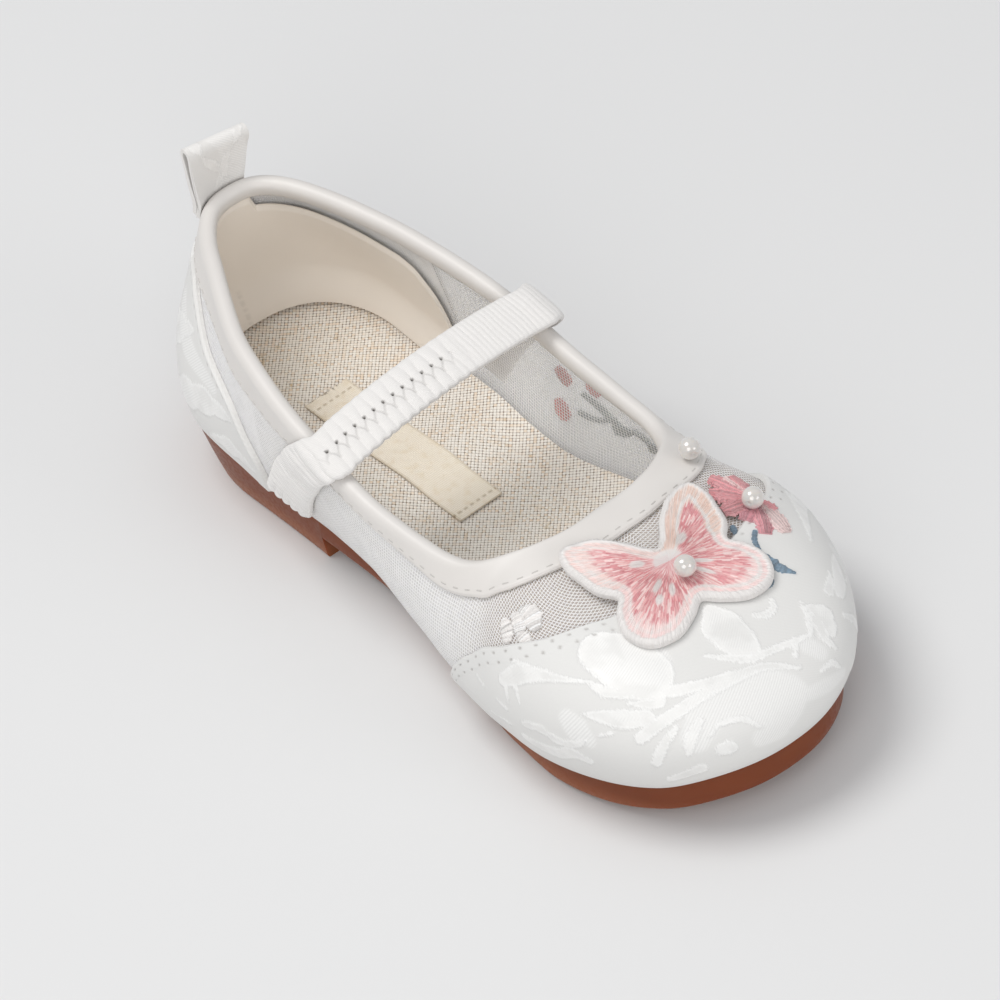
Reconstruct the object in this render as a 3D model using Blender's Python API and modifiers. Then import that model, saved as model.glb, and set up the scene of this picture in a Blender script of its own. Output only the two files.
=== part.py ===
"""Child's mesh Mary Jane, left foot, as an assembly of separate solids.

Frame: metres, +Z up, floor at z = 0, toe towards -Y, medial side towards -X. Sizes below are in millimetres on the
last's own axes; build() moves the finished shoe so that its box stands centred on the origin.

The upper is one function, skin(turn, rise): turn runs from -1 (tip of the toe) round the medial side to 0 (middle of
the heel) and round the lateral side to 1 (the tip again), rise from 0 at the feather line to 1 at the collar edge.
Toe cap, counter, binding, strap, loop, footbed and trims are all placed on it.
"""

import math
from collections import namedtuple

import bmesh
import bpy
import numpy as np

MM = 0.001
NAME = "mesh_mary_jane"

LENGTH = 165.0
WALL = 1.2
CLEAR = 0.3
ROUND = 72
MEDIAL, LATERAL = -1, 1

# Outline of the sole seen from above. along: 0 at the back of the heel, 1 at the tip of the toe.
Outline = namedtuple("Outline", "along centre medial lateral")
OUTLINE = (
    Outline(0.00, 0.7, 23.0, 23.9),
    Outline(0.10, 0.2, 22.8, 23.9),
    Outline(0.28, -0.4, 21.2, 22.8),
    Outline(0.42, -0.7, 20.0, 22.0),
    Outline(0.55, -0.8, 23.0, 26.4),
    Outline(0.70, -0.8, 29.4, 31.4),
    Outline(0.79, -1.3, 30.6, 30.6),
    Outline(1.00, -3.9, 29.0, 27.6),
)
HEEL_ROUND, TOE_ROUND, END_POWER = 0.16, 0.26, 2.3

# Side view of the sole: underside between breast and toe, top edge, and how far inside it the upper starts.
HEEL_LENGTH = 50.0
HEEL_TAPER_BACK, HEEL_TAPER_BREAST = 3.4, 0.8
Side = namedtuple("Side", "along under top inset")
SIDE = (
    Side(0.00, 6.4, 15.0, 1.0),
    Side(0.12, 6.4, 14.9, 0.8),
    Side(0.18, 6.4, 13.8, 0.3),
    Side(0.24, 6.2, 12.0, -0.3),
    Side(0.32, 5.0, 10.6, -0.5),
    Side(0.38, 3.6, 8.2, -0.5),
    Side(0.47, 1.6, 6.3, -0.5),
    Side(0.58, 0.0, 5.4, -0.5),
    Side(0.68, 0.0, 5.8, -0.5),
    Side(0.76, 0.3, 7.2, -0.5),
    Side(0.85, 1.5, 9.2, -0.5),
    Side(0.93, 3.6, 11.1, -0.5),
    Side(1.00, 6.4, 14.2, -0.5),
)

# Collar edge: half width and height from the middle of the back (0) to the middle of the throat (1).
COLLAR_BACK, COLLAR_FRONT = 79.6, -31.2
COLLAR_BACK_ROUND, COLLAR_FRONT_ROUND, COLLAR_POWER = 0.20, 0.17, 2.4
Collar = namedtuple("Collar", "along centre half height")
COLLAR = (
    Collar(0.00, 3.2, 12.0, 47.8),
    Collar(0.10, 2.2, 13.6, 47.3),
    Collar(0.30, -0.2, 21.1, 44.0),
    Collar(0.50, -1.0, 24.9, 39.7),
    Collar(0.70, -1.2, 26.0, 33.8),
    Collar(0.88, -1.0, 25.1, 32.2),
    Collar(1.00, -0.4, 24.0, 35.7),
)

# Sections of the upper, from the feather line (sole) to the collar. medial or lateral (outwards) and up push the
# section away from its foot, reach and drop carry it away from the collar edge. bed is the footbed's edge above the foot.
Section = namedtuple("Section", "place sole collar medial lateral up reach drop bed")
SECTIONS = (
    Section("back", 0.00, 0.00, 2.6, 2.6, 13.0, 4.0, 13.0, 0.5),
    Section("heel side", 0.12, 0.13, 2.6, 2.8, 12.0, 3.0, 12.0, 0.5),
    Section("quarter", 0.27, 0.37, 2.2, 3.0, 10.0, 1.0, 12.0, 1.8),
    Section("waist", 0.42, 0.60, 6.6, 3.2, 9.0, 0.4, 10.0, 3.0),
    Section("throat side", 0.60, 0.86, 9.6, 4.0, 9.0, 4.4, 7.0, 3.6),
    Section("throat corner", 0.70, 0.955, 7.4, 4.4, 10.0, 11.0, 3.6, 3.4),
    Section("toe corner", 0.84, 0.99, 7.4, 7.4, 11.4, 25.0, 3.0, 2.4),
    Section("tip", 1.00, 1.00, 7.4, 7.4, 11.4, 41.0, 4.0, 2.4),
)


def smooth(x, xs, ys):
    """Monotone cubic through the rows, level at both ends, so that the two sides meet without a crease."""
    x, xs, ys = (np.asarray(a, float) for a in (x, xs, ys))
    step = np.diff(xs)
    rate = np.diff(ys) / step
    slope = np.zeros(len(xs))
    same = rate[:-1] * rate[1:] > 0
    near, far = 2 * step[1:] + step[:-1], step[1:] + 2 * step[:-1]
    safe_near, safe_far = np.where(same, rate[:-1], 1.0), np.where(same, rate[1:], 1.0)
    slope[1:-1] = np.where(same, (near + far) / (near / safe_near + far / safe_far), 0.0)
    i = np.clip(np.searchsorted(xs, x) - 1, 0, len(step) - 1)
    t = np.clip((x - xs[i]) / step[i], 0.0, 1.0)
    low = (1 + 2 * t) * (1 - t) ** 2 * ys[i] + t * (1 - t) ** 2 * step[i] * slope[i]
    high = t * t * (3 - 2 * t) * ys[i + 1] - t * t * (1 - t) * step[i] * slope[i + 1]
    return low + high


def column(rows, name):
    return [getattr(row, name) for row in rows]


def table(rows, name, x):
    return smooth(x, column(rows, "along"), column(rows, name))


def rounded(along, back, front, power):
    """1 along the sides, falling to 0 at both ends like a superellipse."""
    behind = np.clip(1 - along / back, 0, 1)
    ahead = np.clip((along - 1 + front) / front, 0, 1)
    return (1 - behind**power) ** (1 / power) * (1 - ahead**power) ** (1 / power)


def unit(v):
    return v / np.linalg.norm(v, axis=-1, keepdims=True)


FINE = 0.5 - 0.5 * np.cos(np.linspace(0, math.pi, 801))


def fine_outline(side):
    """Dense half outline of the sole with its outward normals, from heel to toe."""
    half = table(OUTLINE, "medial" if side == MEDIAL else "lateral", FINE)
    x = table(OUTLINE, "centre", FINE) + side * half * rounded(FINE, HEEL_ROUND, TOE_ROUND, END_POWER)
    points = np.stack([x, LENGTH * (0.5 - FINE)], -1)
    forward = np.gradient(points, axis=0)
    forward[[0, -1]] = [[side, 0], [-side, 0]]
    normal = unit(np.stack([-side * forward[:, 1], side * forward[:, 0]], -1))
    return points, normal


OUTLINES = {side: fine_outline(side) for side in (MEDIAL, LATERAL)}


def edge(side, along, inset=0.0):
    """Points of the sole's outline at these places, moved inwards by inset."""
    points, normal = OUTLINES[side]
    moved = points - normal * np.interp(FINE, along, np.broadcast_to(inset, np.shape(along)))[:, None]
    return np.stack([np.interp(along, FINE, moved[:, k]) for k in range(2)], -1)


def arc_share(points):
    run = np.concatenate([[0], np.cumsum(np.linalg.norm(np.diff(points, axis=0), axis=1))])
    return run / run[-1]


def fine_section_frame(side):
    """The four Bezier points of the upper's sections, at even steps along the feather line of one side."""
    outline, normal = OUTLINES[side]
    feather = outline - normal * table(SIDE, "inset", FINE)[:, None]
    feather = np.column_stack([feather, table(SIDE, "top", FINE) + CLEAR])
    half = table(COLLAR, "half", FINE) * rounded(FINE, COLLAR_BACK_ROUND, COLLAR_FRONT_ROUND, COLLAR_POWER)
    x = table(COLLAR, "centre", FINE) + side * half
    y = COLLAR_BACK + (COLLAR_FRONT - COLLAR_BACK) * FINE
    collar = np.stack([x, y, table(COLLAR, "height", FINE)], -1)
    feather_share, collar_share = arc_share(feather), arc_share(collar)
    share = np.linspace(0, 1, 401)
    along = np.interp(share, feather_share, FINE)
    row_share = np.interp(column(SECTIONS, "sole"), FINE, feather_share)
    row_collar = np.interp(column(SECTIONS, "collar"), FINE, collar_share)

    def at(curve, curve_share, places):
        return np.stack([np.interp(places, curve_share, curve[:, k]) for k in range(curve.shape[1])], -1)

    foot = at(feather, feather_share, share)
    top = at(collar, collar_share, np.clip(smooth_open(share, row_share, row_collar), 0, 1))
    outward = unit(np.stack([np.interp(along, FINE, normal[:, k]) for k in range(2)], -1))
    outward = np.column_stack([outward, np.zeros(len(share))])
    columns = ("medial" if side == MEDIAL else "lateral", "up", "reach", "drop")
    out, up, reach, drop = (smooth(share, row_share, column(SECTIONS, name))[:, None] for name in columns)
    rise = np.array([0.0, 0.0, 1.0])
    return np.stack([foot, foot + outward * out + rise * up, top + outward * reach - rise * drop, top], 1)


def smooth_open(x, xs, ys):
    """Like smooth, but without levelling the ends: the places of one curve on another."""
    ghost_x = [2 * xs[0] - xs[1], *xs, 2 * xs[-1] - xs[-2]]
    ghost_y = [2 * ys[0] - ys[1], *ys, 2 * ys[-1] - ys[-2]]
    return smooth(x, ghost_x, ghost_y)


SHARE = np.linspace(0, 1, 401)
FRAMES = {side: fine_section_frame(side) for side in (MEDIAL, LATERAL)}
BED_SHARE = [float(np.interp(row.sole, FINE, arc_share(OUTLINES[MEDIAL][0]))) for row in SECTIONS]


def wrap(turn):
    return (np.asarray(turn, float) + 1) % 2 - 1


def skin(turn, rise):
    """Outer face of the upper, in millimetres."""
    turn, rise = np.broadcast_arrays(wrap(turn), np.asarray(rise, float))
    share = np.abs(turn)
    place = share * (len(SHARE) - 1)
    i = np.clip(place.astype(int), 0, len(SHARE) - 2)
    part = (place - i)[..., None, None]
    frames = np.stack([FRAMES[MEDIAL], FRAMES[LATERAL]])
    which = (turn > 0).astype(int)
    control = frames[which, i] * (1 - part) + frames[which, i + 1] * part
    t = rise[..., None]
    return (
        (1 - t) ** 3 * control[..., 0, :]
        + 3 * t * (1 - t) ** 2 * control[..., 1, :]
        + 3 * t * t * (1 - t) * control[..., 2, :]
        + t**3 * control[..., 3, :]
    )


def skin_frame(turn, rise, step=0.004):
    """Point, unit normal outwards and unit direction up the section."""
    low, high = np.clip(np.asarray(rise) - step, -0.02, 1), np.clip(np.asarray(rise) + step, -0.02, 1)
    around = skin(np.asarray(turn) + step, rise) - skin(np.asarray(turn) - step, rise)
    upward = unit(skin(turn, high) - skin(turn, low))
    return skin(turn, rise), unit(np.cross(upward, around)), upward


def over(turn, rise, off):
    """A point off millimetres outside the upper's outer face."""
    point, normal, _ = skin_frame(turn, rise)
    return point + normal * np.asarray(off, float)[..., None]


def rise_below(turn, distance):
    """The rise of the points this far below the collar edge, measured along each section."""
    rises = np.linspace(0, 1, 81)
    found = []
    for one, wanted in zip(np.ravel(turn), np.ravel(np.broadcast_to(distance, np.shape(turn)))):
        points = skin(np.full(81, one), rises)[::-1]
        run = np.concatenate([[0], np.cumsum(np.linalg.norm(np.diff(points, axis=0), axis=1))])
        found.append(1 - np.interp(wanted, run, np.linspace(0, 1, 81)))
    return np.reshape(found, np.shape(turn))


def turn_at(side, y, rise):
    """The turn on one side where the section's point at this rise has this y."""
    share = np.linspace(0.02, 0.80, 200)
    line = skin(side * share, np.full(200, rise))[:, 1]
    return side * np.interp(-y, -line, share)


def material(name, colour, roughness):
    made = bpy.data.materials.new(name)
    made.use_nodes = True
    shader = made.node_tree.nodes["Principled BSDF"]
    shader.inputs["Base Color"].default_value = (*colour, 1.0)
    shader.inputs["Roughness"].default_value = roughness
    return made


def add(name, mesh, look):
    made = bpy.data.objects.new(name, mesh)
    made.data.materials.append(look)
    bpy.data.collections[NAME].objects.link(made)
    made.parent = bpy.data.objects["shoe"]
    return made


def sheet(name, grid, thickness, look, outwards=True, closed=False, hub=None):
    """A cloth or leather piece: an open grid of points (around, up) with Solidify on its outer or inner side.

    A closed grid runs all the way round, and a hub closes its first row with a fan.
    """
    around, up = grid.shape[:2]
    points = grid.reshape(-1, 3)
    faces = []
    for i in range(around if closed else around - 1):
        a, b = i * up, (i + 1) % around * up
        faces += [(a + j, a + j + 1, b + j + 1, b + j) for j in range(up - 1)]
        if hub is not None:
            faces.append((len(points), a, b))
    if hub is not None:
        points = np.concatenate([points, [hub]])
    mesh = bpy.data.meshes.new(name)
    mesh.from_pydata((points * MM).tolist(), [], faces)
    made = add(name, mesh, look)
    solid = made.modifiers.new("thickness", "SOLIDIFY")
    solid.thickness = thickness * MM
    solid.offset = 1.0 if outwards else -1.0
    return made


def loft(name, rings, look, capped=True):
    """A solid through closed rings of points. Capped rings run heel, medial side, toe, lateral side."""
    bm = bmesh.new()
    rows = [[bm.verts.new(p * MM) for p in ring] for ring in rings]
    count = len(rows[0])
    for low, high in zip(rows, rows[1:] if capped else rows[1:] + rows[:1]):
        for i in range(count):
            bm.faces.new((low[i], low[(i + 1) % count], high[(i + 1) % count], high[i]))
    for row in (rows[0], rows[-1]) if capped else ():
        tip = count // 2
        medial, lateral = row[: tip + 1], [row[0], *row[:tip:-1], row[tip]]
        for i in range(tip):
            corners = [medial[i], medial[i + 1], lateral[i + 1], lateral[i]]
            bm.faces.new(list(dict.fromkeys(corners)))
    bmesh.ops.recalc_face_normals(bm, faces=bm.faces)
    mesh = bpy.data.meshes.new(name)
    bm.to_mesh(mesh)
    bm.free()
    return add(name, mesh, look)


def both_sides(medial, lateral):
    """One closed ring from two half rows that share their first and last places."""
    ends = (medial[[0, -1]] + lateral[[0, -1]]) / 2
    return np.concatenate([ends[:1], medial[1:-1], ends[1:], lateral[-2:0:-1]])


# Sole: rings from the tread up, ending in a shallow cup. share is the place between underside and top edge, inset the
# pull towards the middle.
CUP_DEPTH, CUP_INSET = 2.6, 2.6
Ring = namedtuple("Ring", "share lift inset")
SOLE_RINGS = (
    Ring(0.0, 0.0, 1.1),
    Ring(0.0, 0.7, 0.2),
    Ring(0.5, 0.0, 0.0),
    Ring(1.0, -0.4, 0.1),
    Ring(1.0, 0.0, 0.5),
    Ring(1.0, -CUP_DEPTH, CUP_INSET),
)


def outsole(look):
    breast = HEEL_LENGTH / LENGTH
    along = 0.5 - 0.5 * np.cos(np.linspace(0, math.pi, 37))
    along = np.sort(np.concatenate([along[np.abs(along - breast) > 0.01], [breast, breast + 0.002]]))
    heel = along <= breast
    under = np.where(heel, 0.0, table(SIDE, "under", along))
    top = table(SIDE, "top", along)
    taper = HEEL_TAPER_BACK + (HEEL_TAPER_BREAST - HEEL_TAPER_BACK) * (along / breast) ** 2
    rings = []
    for ring in SOLE_RINGS:
        height = under + (top - under) * ring.share + ring.lift
        inset = ring.inset + np.where(heel, taper * (1 - height / top), 0.0)
        rows = [np.column_stack([edge(side, along, inset), height]) for side in (MEDIAL, LATERAL)]
        rings.append(both_sides(*rows))
    return loft("outsole", rings, look)


TURNS = wrap(np.arange(ROUND) * 2 / ROUND - 1)
UPPER_ROWS = 13


def upper(look):
    grid = skin(TURNS[:, None], np.linspace(0, 1, UPPER_ROWS)[None])
    return sheet("upper", grid, WALL, look, outwards=False, closed=True)


INSOLE_DISH = 1.0
INSOLE_FLAT = 0.62
INSOLE_SHORTER = 0.92


def bed_edge(side):
    """Two rows of one side of the footbed: its foot in the cup of the sole, and its top edge just inside the upper."""
    turn = side * np.linspace(0, 1, ROUND // 2 + 1)
    bed, up = (smooth(np.abs(turn), BED_SHARE, column(SECTIONS, name)) for name in ("bed", "up"))
    high = over(turn, bed / (3 * up), np.full(len(turn), -WALL - CLEAR))
    foot, normal, _ = skin_frame(turn, np.zeros(len(turn)))
    level = unit(normal * [1, 1, 0])
    low = foot - level * (CUP_INSET + 1.0) - [0, 0, CUP_DEPTH]
    return low, high


def bed_flat(medial, lateral):
    """The level middle of the footbed: the two edge rows drawn in towards its middle and lowered."""
    middle = (medial + lateral) / 2
    rows = []
    for row in (medial, lateral):
        flat = middle + (row - middle) * INSOLE_FLAT
        flat[:, 1] = middle[:, 1].mean() + (flat[:, 1] - middle[:, 1].mean()) * INSOLE_SHORTER
        flat[:, 2] -= INSOLE_DISH
        rows.append(flat)
    return rows


def insole(look):
    (low_m, high_m), (low_l, high_l) = bed_edge(MEDIAL), bed_edge(LATERAL)
    flat_m, flat_l = bed_flat(high_m, high_l)
    rings = [both_sides(low_m, low_l), both_sides(high_m, high_l), both_sides(flat_m, flat_l)]
    return loft("insole", rings, look)


# Folded binding: places along the wall above (+) or below (-) the collar edge, and off its outer face. share stretches
# the outer leg, from 0 near the collar edge to 1 at the depth that the binding has there.
Fold = namedtuple("Fold", "along off share", defaults=[0.0])
BINDING_INSIDE, BINDING_CLOTH = 1.8, 0.8
Depth = namedtuple("Depth", "along depth")
BINDING_DEPTH = (
    Depth(0.00, 6.4),
    Depth(0.20, 6.4),
    Depth(0.26, 7.0),
    Depth(0.31, 6.4),
    Depth(0.36, 4.7),
    Depth(0.47, 2.9),
    Depth(0.53, 3.5),
    Depth(0.59, 5.0),
    Depth(0.64, 7.8),
    Depth(0.70, 10.4),
    Depth(0.76, 10.9),
    Depth(0.84, 9.8),
    Depth(0.92, 8.0),
    Depth(1.00, 7.0),
)
LEG_TOP = 1.0
OUTER, INNER = CLEAR, -WALL - CLEAR
OUTER_FACE, INNER_FACE = OUTER + BINDING_CLOTH, INNER - BINDING_CLOTH
BEAD_TOP = 1.5
BEAD = (
    Fold(0.5, OUTER_FACE - 0.1),
    Fold(1.3, 0.2),
    Fold(BEAD_TOP, -WALL / 2),
    Fold(1.3, -WALL - 0.2),
    Fold(0.5, INNER_FACE + 0.1),
)


def leg(start, end, off, count=4):
    return [Fold(along, off) for along in np.linspace(start, end, count)]


BINDING = (
    *(Fold(-LEG_TOP, OUTER_FACE, share) for share in np.linspace(1, 0, 4)),
    *BEAD,
    *leg(-LEG_TOP, -BINDING_INSIDE, INNER_FACE, 2),
    *leg(-BINDING_INSIDE, 0.3, INNER, 2),
    Fold(0.3, OUTER),
    *(Fold(-LEG_TOP, OUTER, share) for share in np.linspace(0, 1, 3)),
)


def binding_depth(turn):
    return table(BINDING_DEPTH, "depth", np.abs(wrap(turn)))


def past_rim(turn, along, off):
    """A point along the wall from the collar edge, also above it, off its outer face."""
    along = np.broadcast_to(along, np.shape(turn))
    point, normal, upward = skin_frame(turn, rise_below(turn, np.maximum(-along, 0.0)))
    return point + normal * off + upward * np.maximum(along, 0.0)[..., None]


def collar_binding(look):
    stretch = binding_depth(TURNS) - LEG_TOP
    rings = [past_rim(TURNS, fold.along - fold.share * stretch, fold.off) for fold in BINDING]
    return loft("collar_binding", rings, look, capped=False)


# Overlays: their free edge as the rise of the upper at each share of the way from heel (0) to toe (1).
Edge = namedtuple("Edge", "along rise")
TOE_CAP = (
    Edge(0.600, 0.14),
    Edge(0.608, 0.23),
    Edge(0.624, 0.34),
    Edge(0.650, 0.44),
    Edge(0.690, 0.52),
    Edge(0.750, 0.60),
    Edge(0.830, 0.68),
    Edge(0.900, 0.75),
    Edge(1.000, 0.79),
)
COUNTER = (
    Edge(0.000, 0.95),
    Edge(0.070, 0.90),
    Edge(0.145, 0.73),
    Edge(0.180, 0.61),
    Edge(0.228, 0.50),
    Edge(0.248, 0.33),
    Edge(0.259, 0.20),
    Edge(0.264, 0.07),
)
DAMASK = 0.8
CAP_GAP = 0.4


def overlay(name, rows, shares, count, look):
    """A patch of cloth on the upper, from the feather line to the free edge, kept clear of the binding."""
    shares = np.asarray(shares)
    free = table(rows, "rise", np.abs(wrap(shares)))
    free = np.minimum(free, rise_below(shares, binding_depth(shares) + CLEAR + 0.3))
    rises = np.linspace(0.01, 1, count)[None] * free[:, None]
    return sheet(name, over(shares[:, None], rises, np.full(rises.shape, CAP_GAP)), DAMASK, look)


def toe_cap(look):
    step = 2 / ROUND
    half = [0.600, 0.607, 0.616, 0.630, *np.arange(23 * step, 0.999, step)]
    return overlay("toe_cap", TOE_CAP, [*half, 1.0, *(2 - share for share in reversed(half))], 10, look)


def heel_counter(look):
    step = 2 / ROUND
    half = [*np.arange(0, 8.5 * step, step), 0.236, 0.248, 0.257, 0.264]
    return overlay("heel_counter", COUNTER, [-share for share in reversed(half[1:])] + half, 8, look)


# Strap: middle and half width along y at each rise of the wall, from its sewn end (low) to the top of the bend (1.1).
Strap = namedtuple("Strap", "along middle half")
STRAP = (
    Strap(0.12, 36.4, 6.2),
    Strap(0.50, 30.0, 6.0),
    Strap(0.83, 22.6, 5.6),
    Strap(1.00, 17.6, 5.1),
    Strap(1.10, 15.3, 4.9),
)
STRAP_FAR_SHIFT, STRAP_FAR_HALF, STRAP_FAR_SLACK = 0.4, 0.92, 1.5
STRAP_THICK, STRAP_ARCH = 1.6, 2.2
STRAP_ACROSS = (-1.0, -0.5, 0.0, 0.5, 1.0)
BEND = BEAD_TOP + WALL / 2 + 0.3


def strap_turn(side, across, along):
    places = column(STRAP, "along")
    middle, half = (np.interp(along, places, column(STRAP, name)) for name in ("middle", "half"))
    if side == LATERAL:
        middle, half = middle + STRAP_FAR_SHIFT * along, half * STRAP_FAR_HALF
    return np.array([turn_at(side, middle - across * half, min(along, 1.0))])


def strap_side(side, across):
    """Inner face of the strap on one side, from its sewn end up the wall and over the bead, for one line of its width."""
    points = []
    slack = STRAP_FAR_SLACK if side == LATERAL else 0.0
    bend = BEND + slack
    for rise in np.linspace(STRAP[0].along, 0.97, 9):
        turn = strap_turn(side, across, rise)
        lifted = np.clip((rise - rise_below(turn, binding_depth(turn) + 1.5)) / 0.12 + 1, 0, 1)
        off = CLEAR + 0.15 + (BINDING_CLOTH + 0.15) * lifted + slack * np.clip((rise - 0.55) / 0.4, 0, 1)
        points.append(over(turn, np.array([rise]), off)[0])
    for degrees in (20, 45, 70):
        turn = strap_turn(side, across, 1 + 0.1 * degrees / 70)
        angle = math.radians(degrees)
        points.append(past_rim(turn, bend * math.sin(angle), bend * math.cos(angle) - WALL / 2)[0])
    return np.array(points)


def strap(look):
    lines = []
    for across in STRAP_ACROSS:
        medial, lateral = strap_side(MEDIAL, across), strap_side(LATERAL, across)
        share = np.linspace(0, 1, 13)[1:-1, None]
        bridge = medial[-1] + (lateral[-1] - medial[-1]) * share
        bridge[:, 2] += 4 * STRAP_ARCH * (share * (1 - share))[:, 0]
        lines.append(np.concatenate([medial, bridge, lateral[::-1]]))
    return sheet("strap", np.stack(lines, 1), STRAP_THICK, look)


# Pull loop: a folded ribbon, straight across its top. open is the room between its plies, skew drops its lateral top
# corner, and its foot is narrower than its top and moved to the medial side.
LOOP_WIDTH, LOOP_ABOVE, LOOP_BELOW, LOOP_RIBBON = 13.2, 11.4, 2.6, 0.7
LOOP_FOOT, LOOP_FOOT_SHIFT, LOOP_TOP_SHIFT = 10.6, -0.6, 1.0
LOOP_OPEN, LOOP_LEAN, LOOP_SKEW = 0.9, 0.06, 1.6
LOOP_SPREAD = (1.0, 1.1, 1.15, 1.1, 1.0, 0.95, 0.9)
UP, BACK = np.array([0.0, 0.0, 1.0]), np.array([0.0, 1.0, 0.0])


def loop_column(across):
    """The ribbon at one place of its width: up behind the binding, over the fold and down again outside."""
    rate = np.linalg.norm(skin(0.01, 1.0) - skin(-0.01, 1.0)) / 0.02
    foot = np.array([(across * LOOP_FOOT + LOOP_FOOT_SHIFT) / rate])
    rise = UP + BACK * LOOP_LEAN
    thick = 2 * LOOP_RIBBON + LOOP_OPEN
    path = [past_rim(foot, -below, OUTER_FACE + CLEAR)[0] for below in np.linspace(LOOP_BELOW, 0, 4)]
    corners = [
        past_rim(np.array([(end * LOOP_WIDTH + LOOP_TOP_SHIFT) / rate]), 0.0, OUTER_FACE + CLEAR)[0]
        + rise * (LOOP_ABOVE - LOOP_SKEW * end)
        for end in (-0.5, 0.5)
    ]
    top = corners[0] + (corners[1] - corners[0]) * (across + 0.5)
    path += [path[3] + (top - path[3]) * share for share in (0.35, 0.7, 1.0)]
    crown = path[-1] + BACK * thick / 2
    fold = [crown + (rise * math.sin(a) - BACK * math.cos(a)) * thick / 2 for a in np.radians([60, 120])]
    return path + fold + [point + BACK * thick * wide for point, wide in zip(path[::-1], LOOP_SPREAD)]


def pull_loop(look):
    grid = np.array([loop_column(across) for across in (-0.5, -0.25, 0.0, 0.25, 0.5)])
    return sheet("pull_loop", grid, LOOP_RIBBON, look)


# Butterfly: half outline as the reach from its middle at each turn from the head (0) to the tail (180 degrees).
Wing = namedtuple("Wing", "along reach")
BUTTERFLY = (
    Wing(0, 4.2),
    Wing(14, 5.6),
    Wing(25, 11.5),
    Wing(33, 16.4),
    Wing(44, 20.2),
    Wing(54, 18.8),
    Wing(66, 16.2),
    Wing(80, 14.2),
    Wing(95, 11.9),
    Wing(106, 14.6),
    Wing(120, 17.6),
    Wing(134, 18.6),
    Wing(150, 16.8),
    Wing(166, 12.8),
    Wing(180, 10.2),
)
BUTTERFLY_TURN, BUTTERFLY_RISE, BUTTERFLY_TILT = 1.0075, 0.8225, 3.9
BUTTERFLY_OFF, BUTTERFLY_THICK = OUTER_FACE + 0.4, 1.8


def on_vamp(across, upward, off):
    """Points of the vamp by millimetres across (to lateral) and up the vamp from the butterfly's middle."""
    middle, normal, ahead = skin_frame(np.array([BUTTERFLY_TURN]), np.array([BUTTERFLY_RISE]))
    side = unit(np.cross(ahead[0], normal[0]))
    turn = np.full(np.shape(across), BUTTERFLY_TURN)
    rise = np.full(np.shape(across), BUTTERFLY_RISE)
    step = 1e-3
    for _ in range(12):
        here = skin(turn, rise)
        miss = np.stack([across - (here - middle) @ side, upward - (here - middle) @ ahead[0]], -1)
        by_turn = (skin(turn + step, rise) - here) / step
        by_rise = (skin(turn, rise + step) - here) / step
        a, b = by_turn @ side, by_rise @ side
        c, d = by_turn @ ahead[0], by_rise @ ahead[0]
        size = a * d - b * c
        turn = turn + np.clip((miss[..., 0] * d - miss[..., 1] * b) / size, -0.05, 0.05)
        rise = np.clip(rise + np.clip((miss[..., 1] * a - miss[..., 0] * c) / size, -0.08, 0.08), 0.05, 0.999)
    return over(turn, rise, np.full(np.shape(across), off))


def butterfly(look):
    degrees = np.arange(0, 360, 7.5)
    reach = table(BUTTERFLY, "reach", np.where(degrees > 180, 360 - degrees, degrees))
    share = np.array([0.3, 0.65, 1.0])
    angle = np.radians(degrees - BUTTERFLY_TILT)[:, None]
    across, upward = -np.sin(angle) * reach[:, None] * share, np.cos(angle) * reach[:, None] * share
    grid = on_vamp(across, upward, BUTTERFLY_OFF)
    hub = on_vamp(np.zeros(1), np.zeros(1), BUTTERFLY_OFF)[0]
    return sheet("butterfly", grid, BUTTERFLY_THICK, look, closed=True, hub=hub)


# Pearls: radius, place on the upper and what lies under them.
Pearl = namedtuple("Pearl", "name turn rise radius under")
PEARLS = (
    Pearl("pearl_butterfly", 1.0065, 0.776, 2.1, BUTTERFLY_OFF + BUTTERFLY_THICK),
    Pearl("pearl_flower", 0.876, 0.735, 2.1, CAP_GAP + DAMASK),
    Pearl("pearl_collar", 0.741, 0.873, 2.1, OUTER_FACE),
)


def pearl(row, look):
    mesh = bpy.data.meshes.new(row.name)
    bm = bmesh.new()
    bmesh.ops.create_uvsphere(bm, u_segments=14, v_segments=8, radius=row.radius * MM)
    bm.to_mesh(mesh)
    bm.free()
    made = add(row.name, mesh, look)
    off = row.under + CLEAR + row.radius
    made.location = over(np.array([row.turn]), np.array([row.rise]), np.array([off]))[0] * MM
    return made


LABEL_WIDTH, LABEL_MIDDLE, LABEL_FRONT, LABEL_BACK, LABEL_RIBBON = 10.2, 1.1, 11.2, 53.8, 0.5
LABEL_SLANT = -0.038


def insole_label(look):
    flat_m, flat_l = bed_flat(bed_edge(MEDIAL)[1], bed_edge(LATERAL)[1])
    bed = (flat_m + flat_l) / 2
    inside = bed[(bed[:, 1] > LABEL_FRONT + 1) & (bed[:, 1] < LABEL_BACK - 1), 1]
    places = np.array([LABEL_FRONT, *inside[::-1], LABEL_BACK])
    height = np.interp(places, bed[::-1, 1], bed[::-1, 2]) + CLEAR
    middle = LABEL_MIDDLE + LABEL_SLANT * (places - LABEL_FRONT)
    edges = (-LABEL_WIDTH / 2, LABEL_WIDTH / 2)
    grid = np.array([[(x + end, y, z) for end in edges] for x, y, z in zip(middle, places, height)])
    return sheet("insole_label", grid, LABEL_RIBBON, look)


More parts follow.
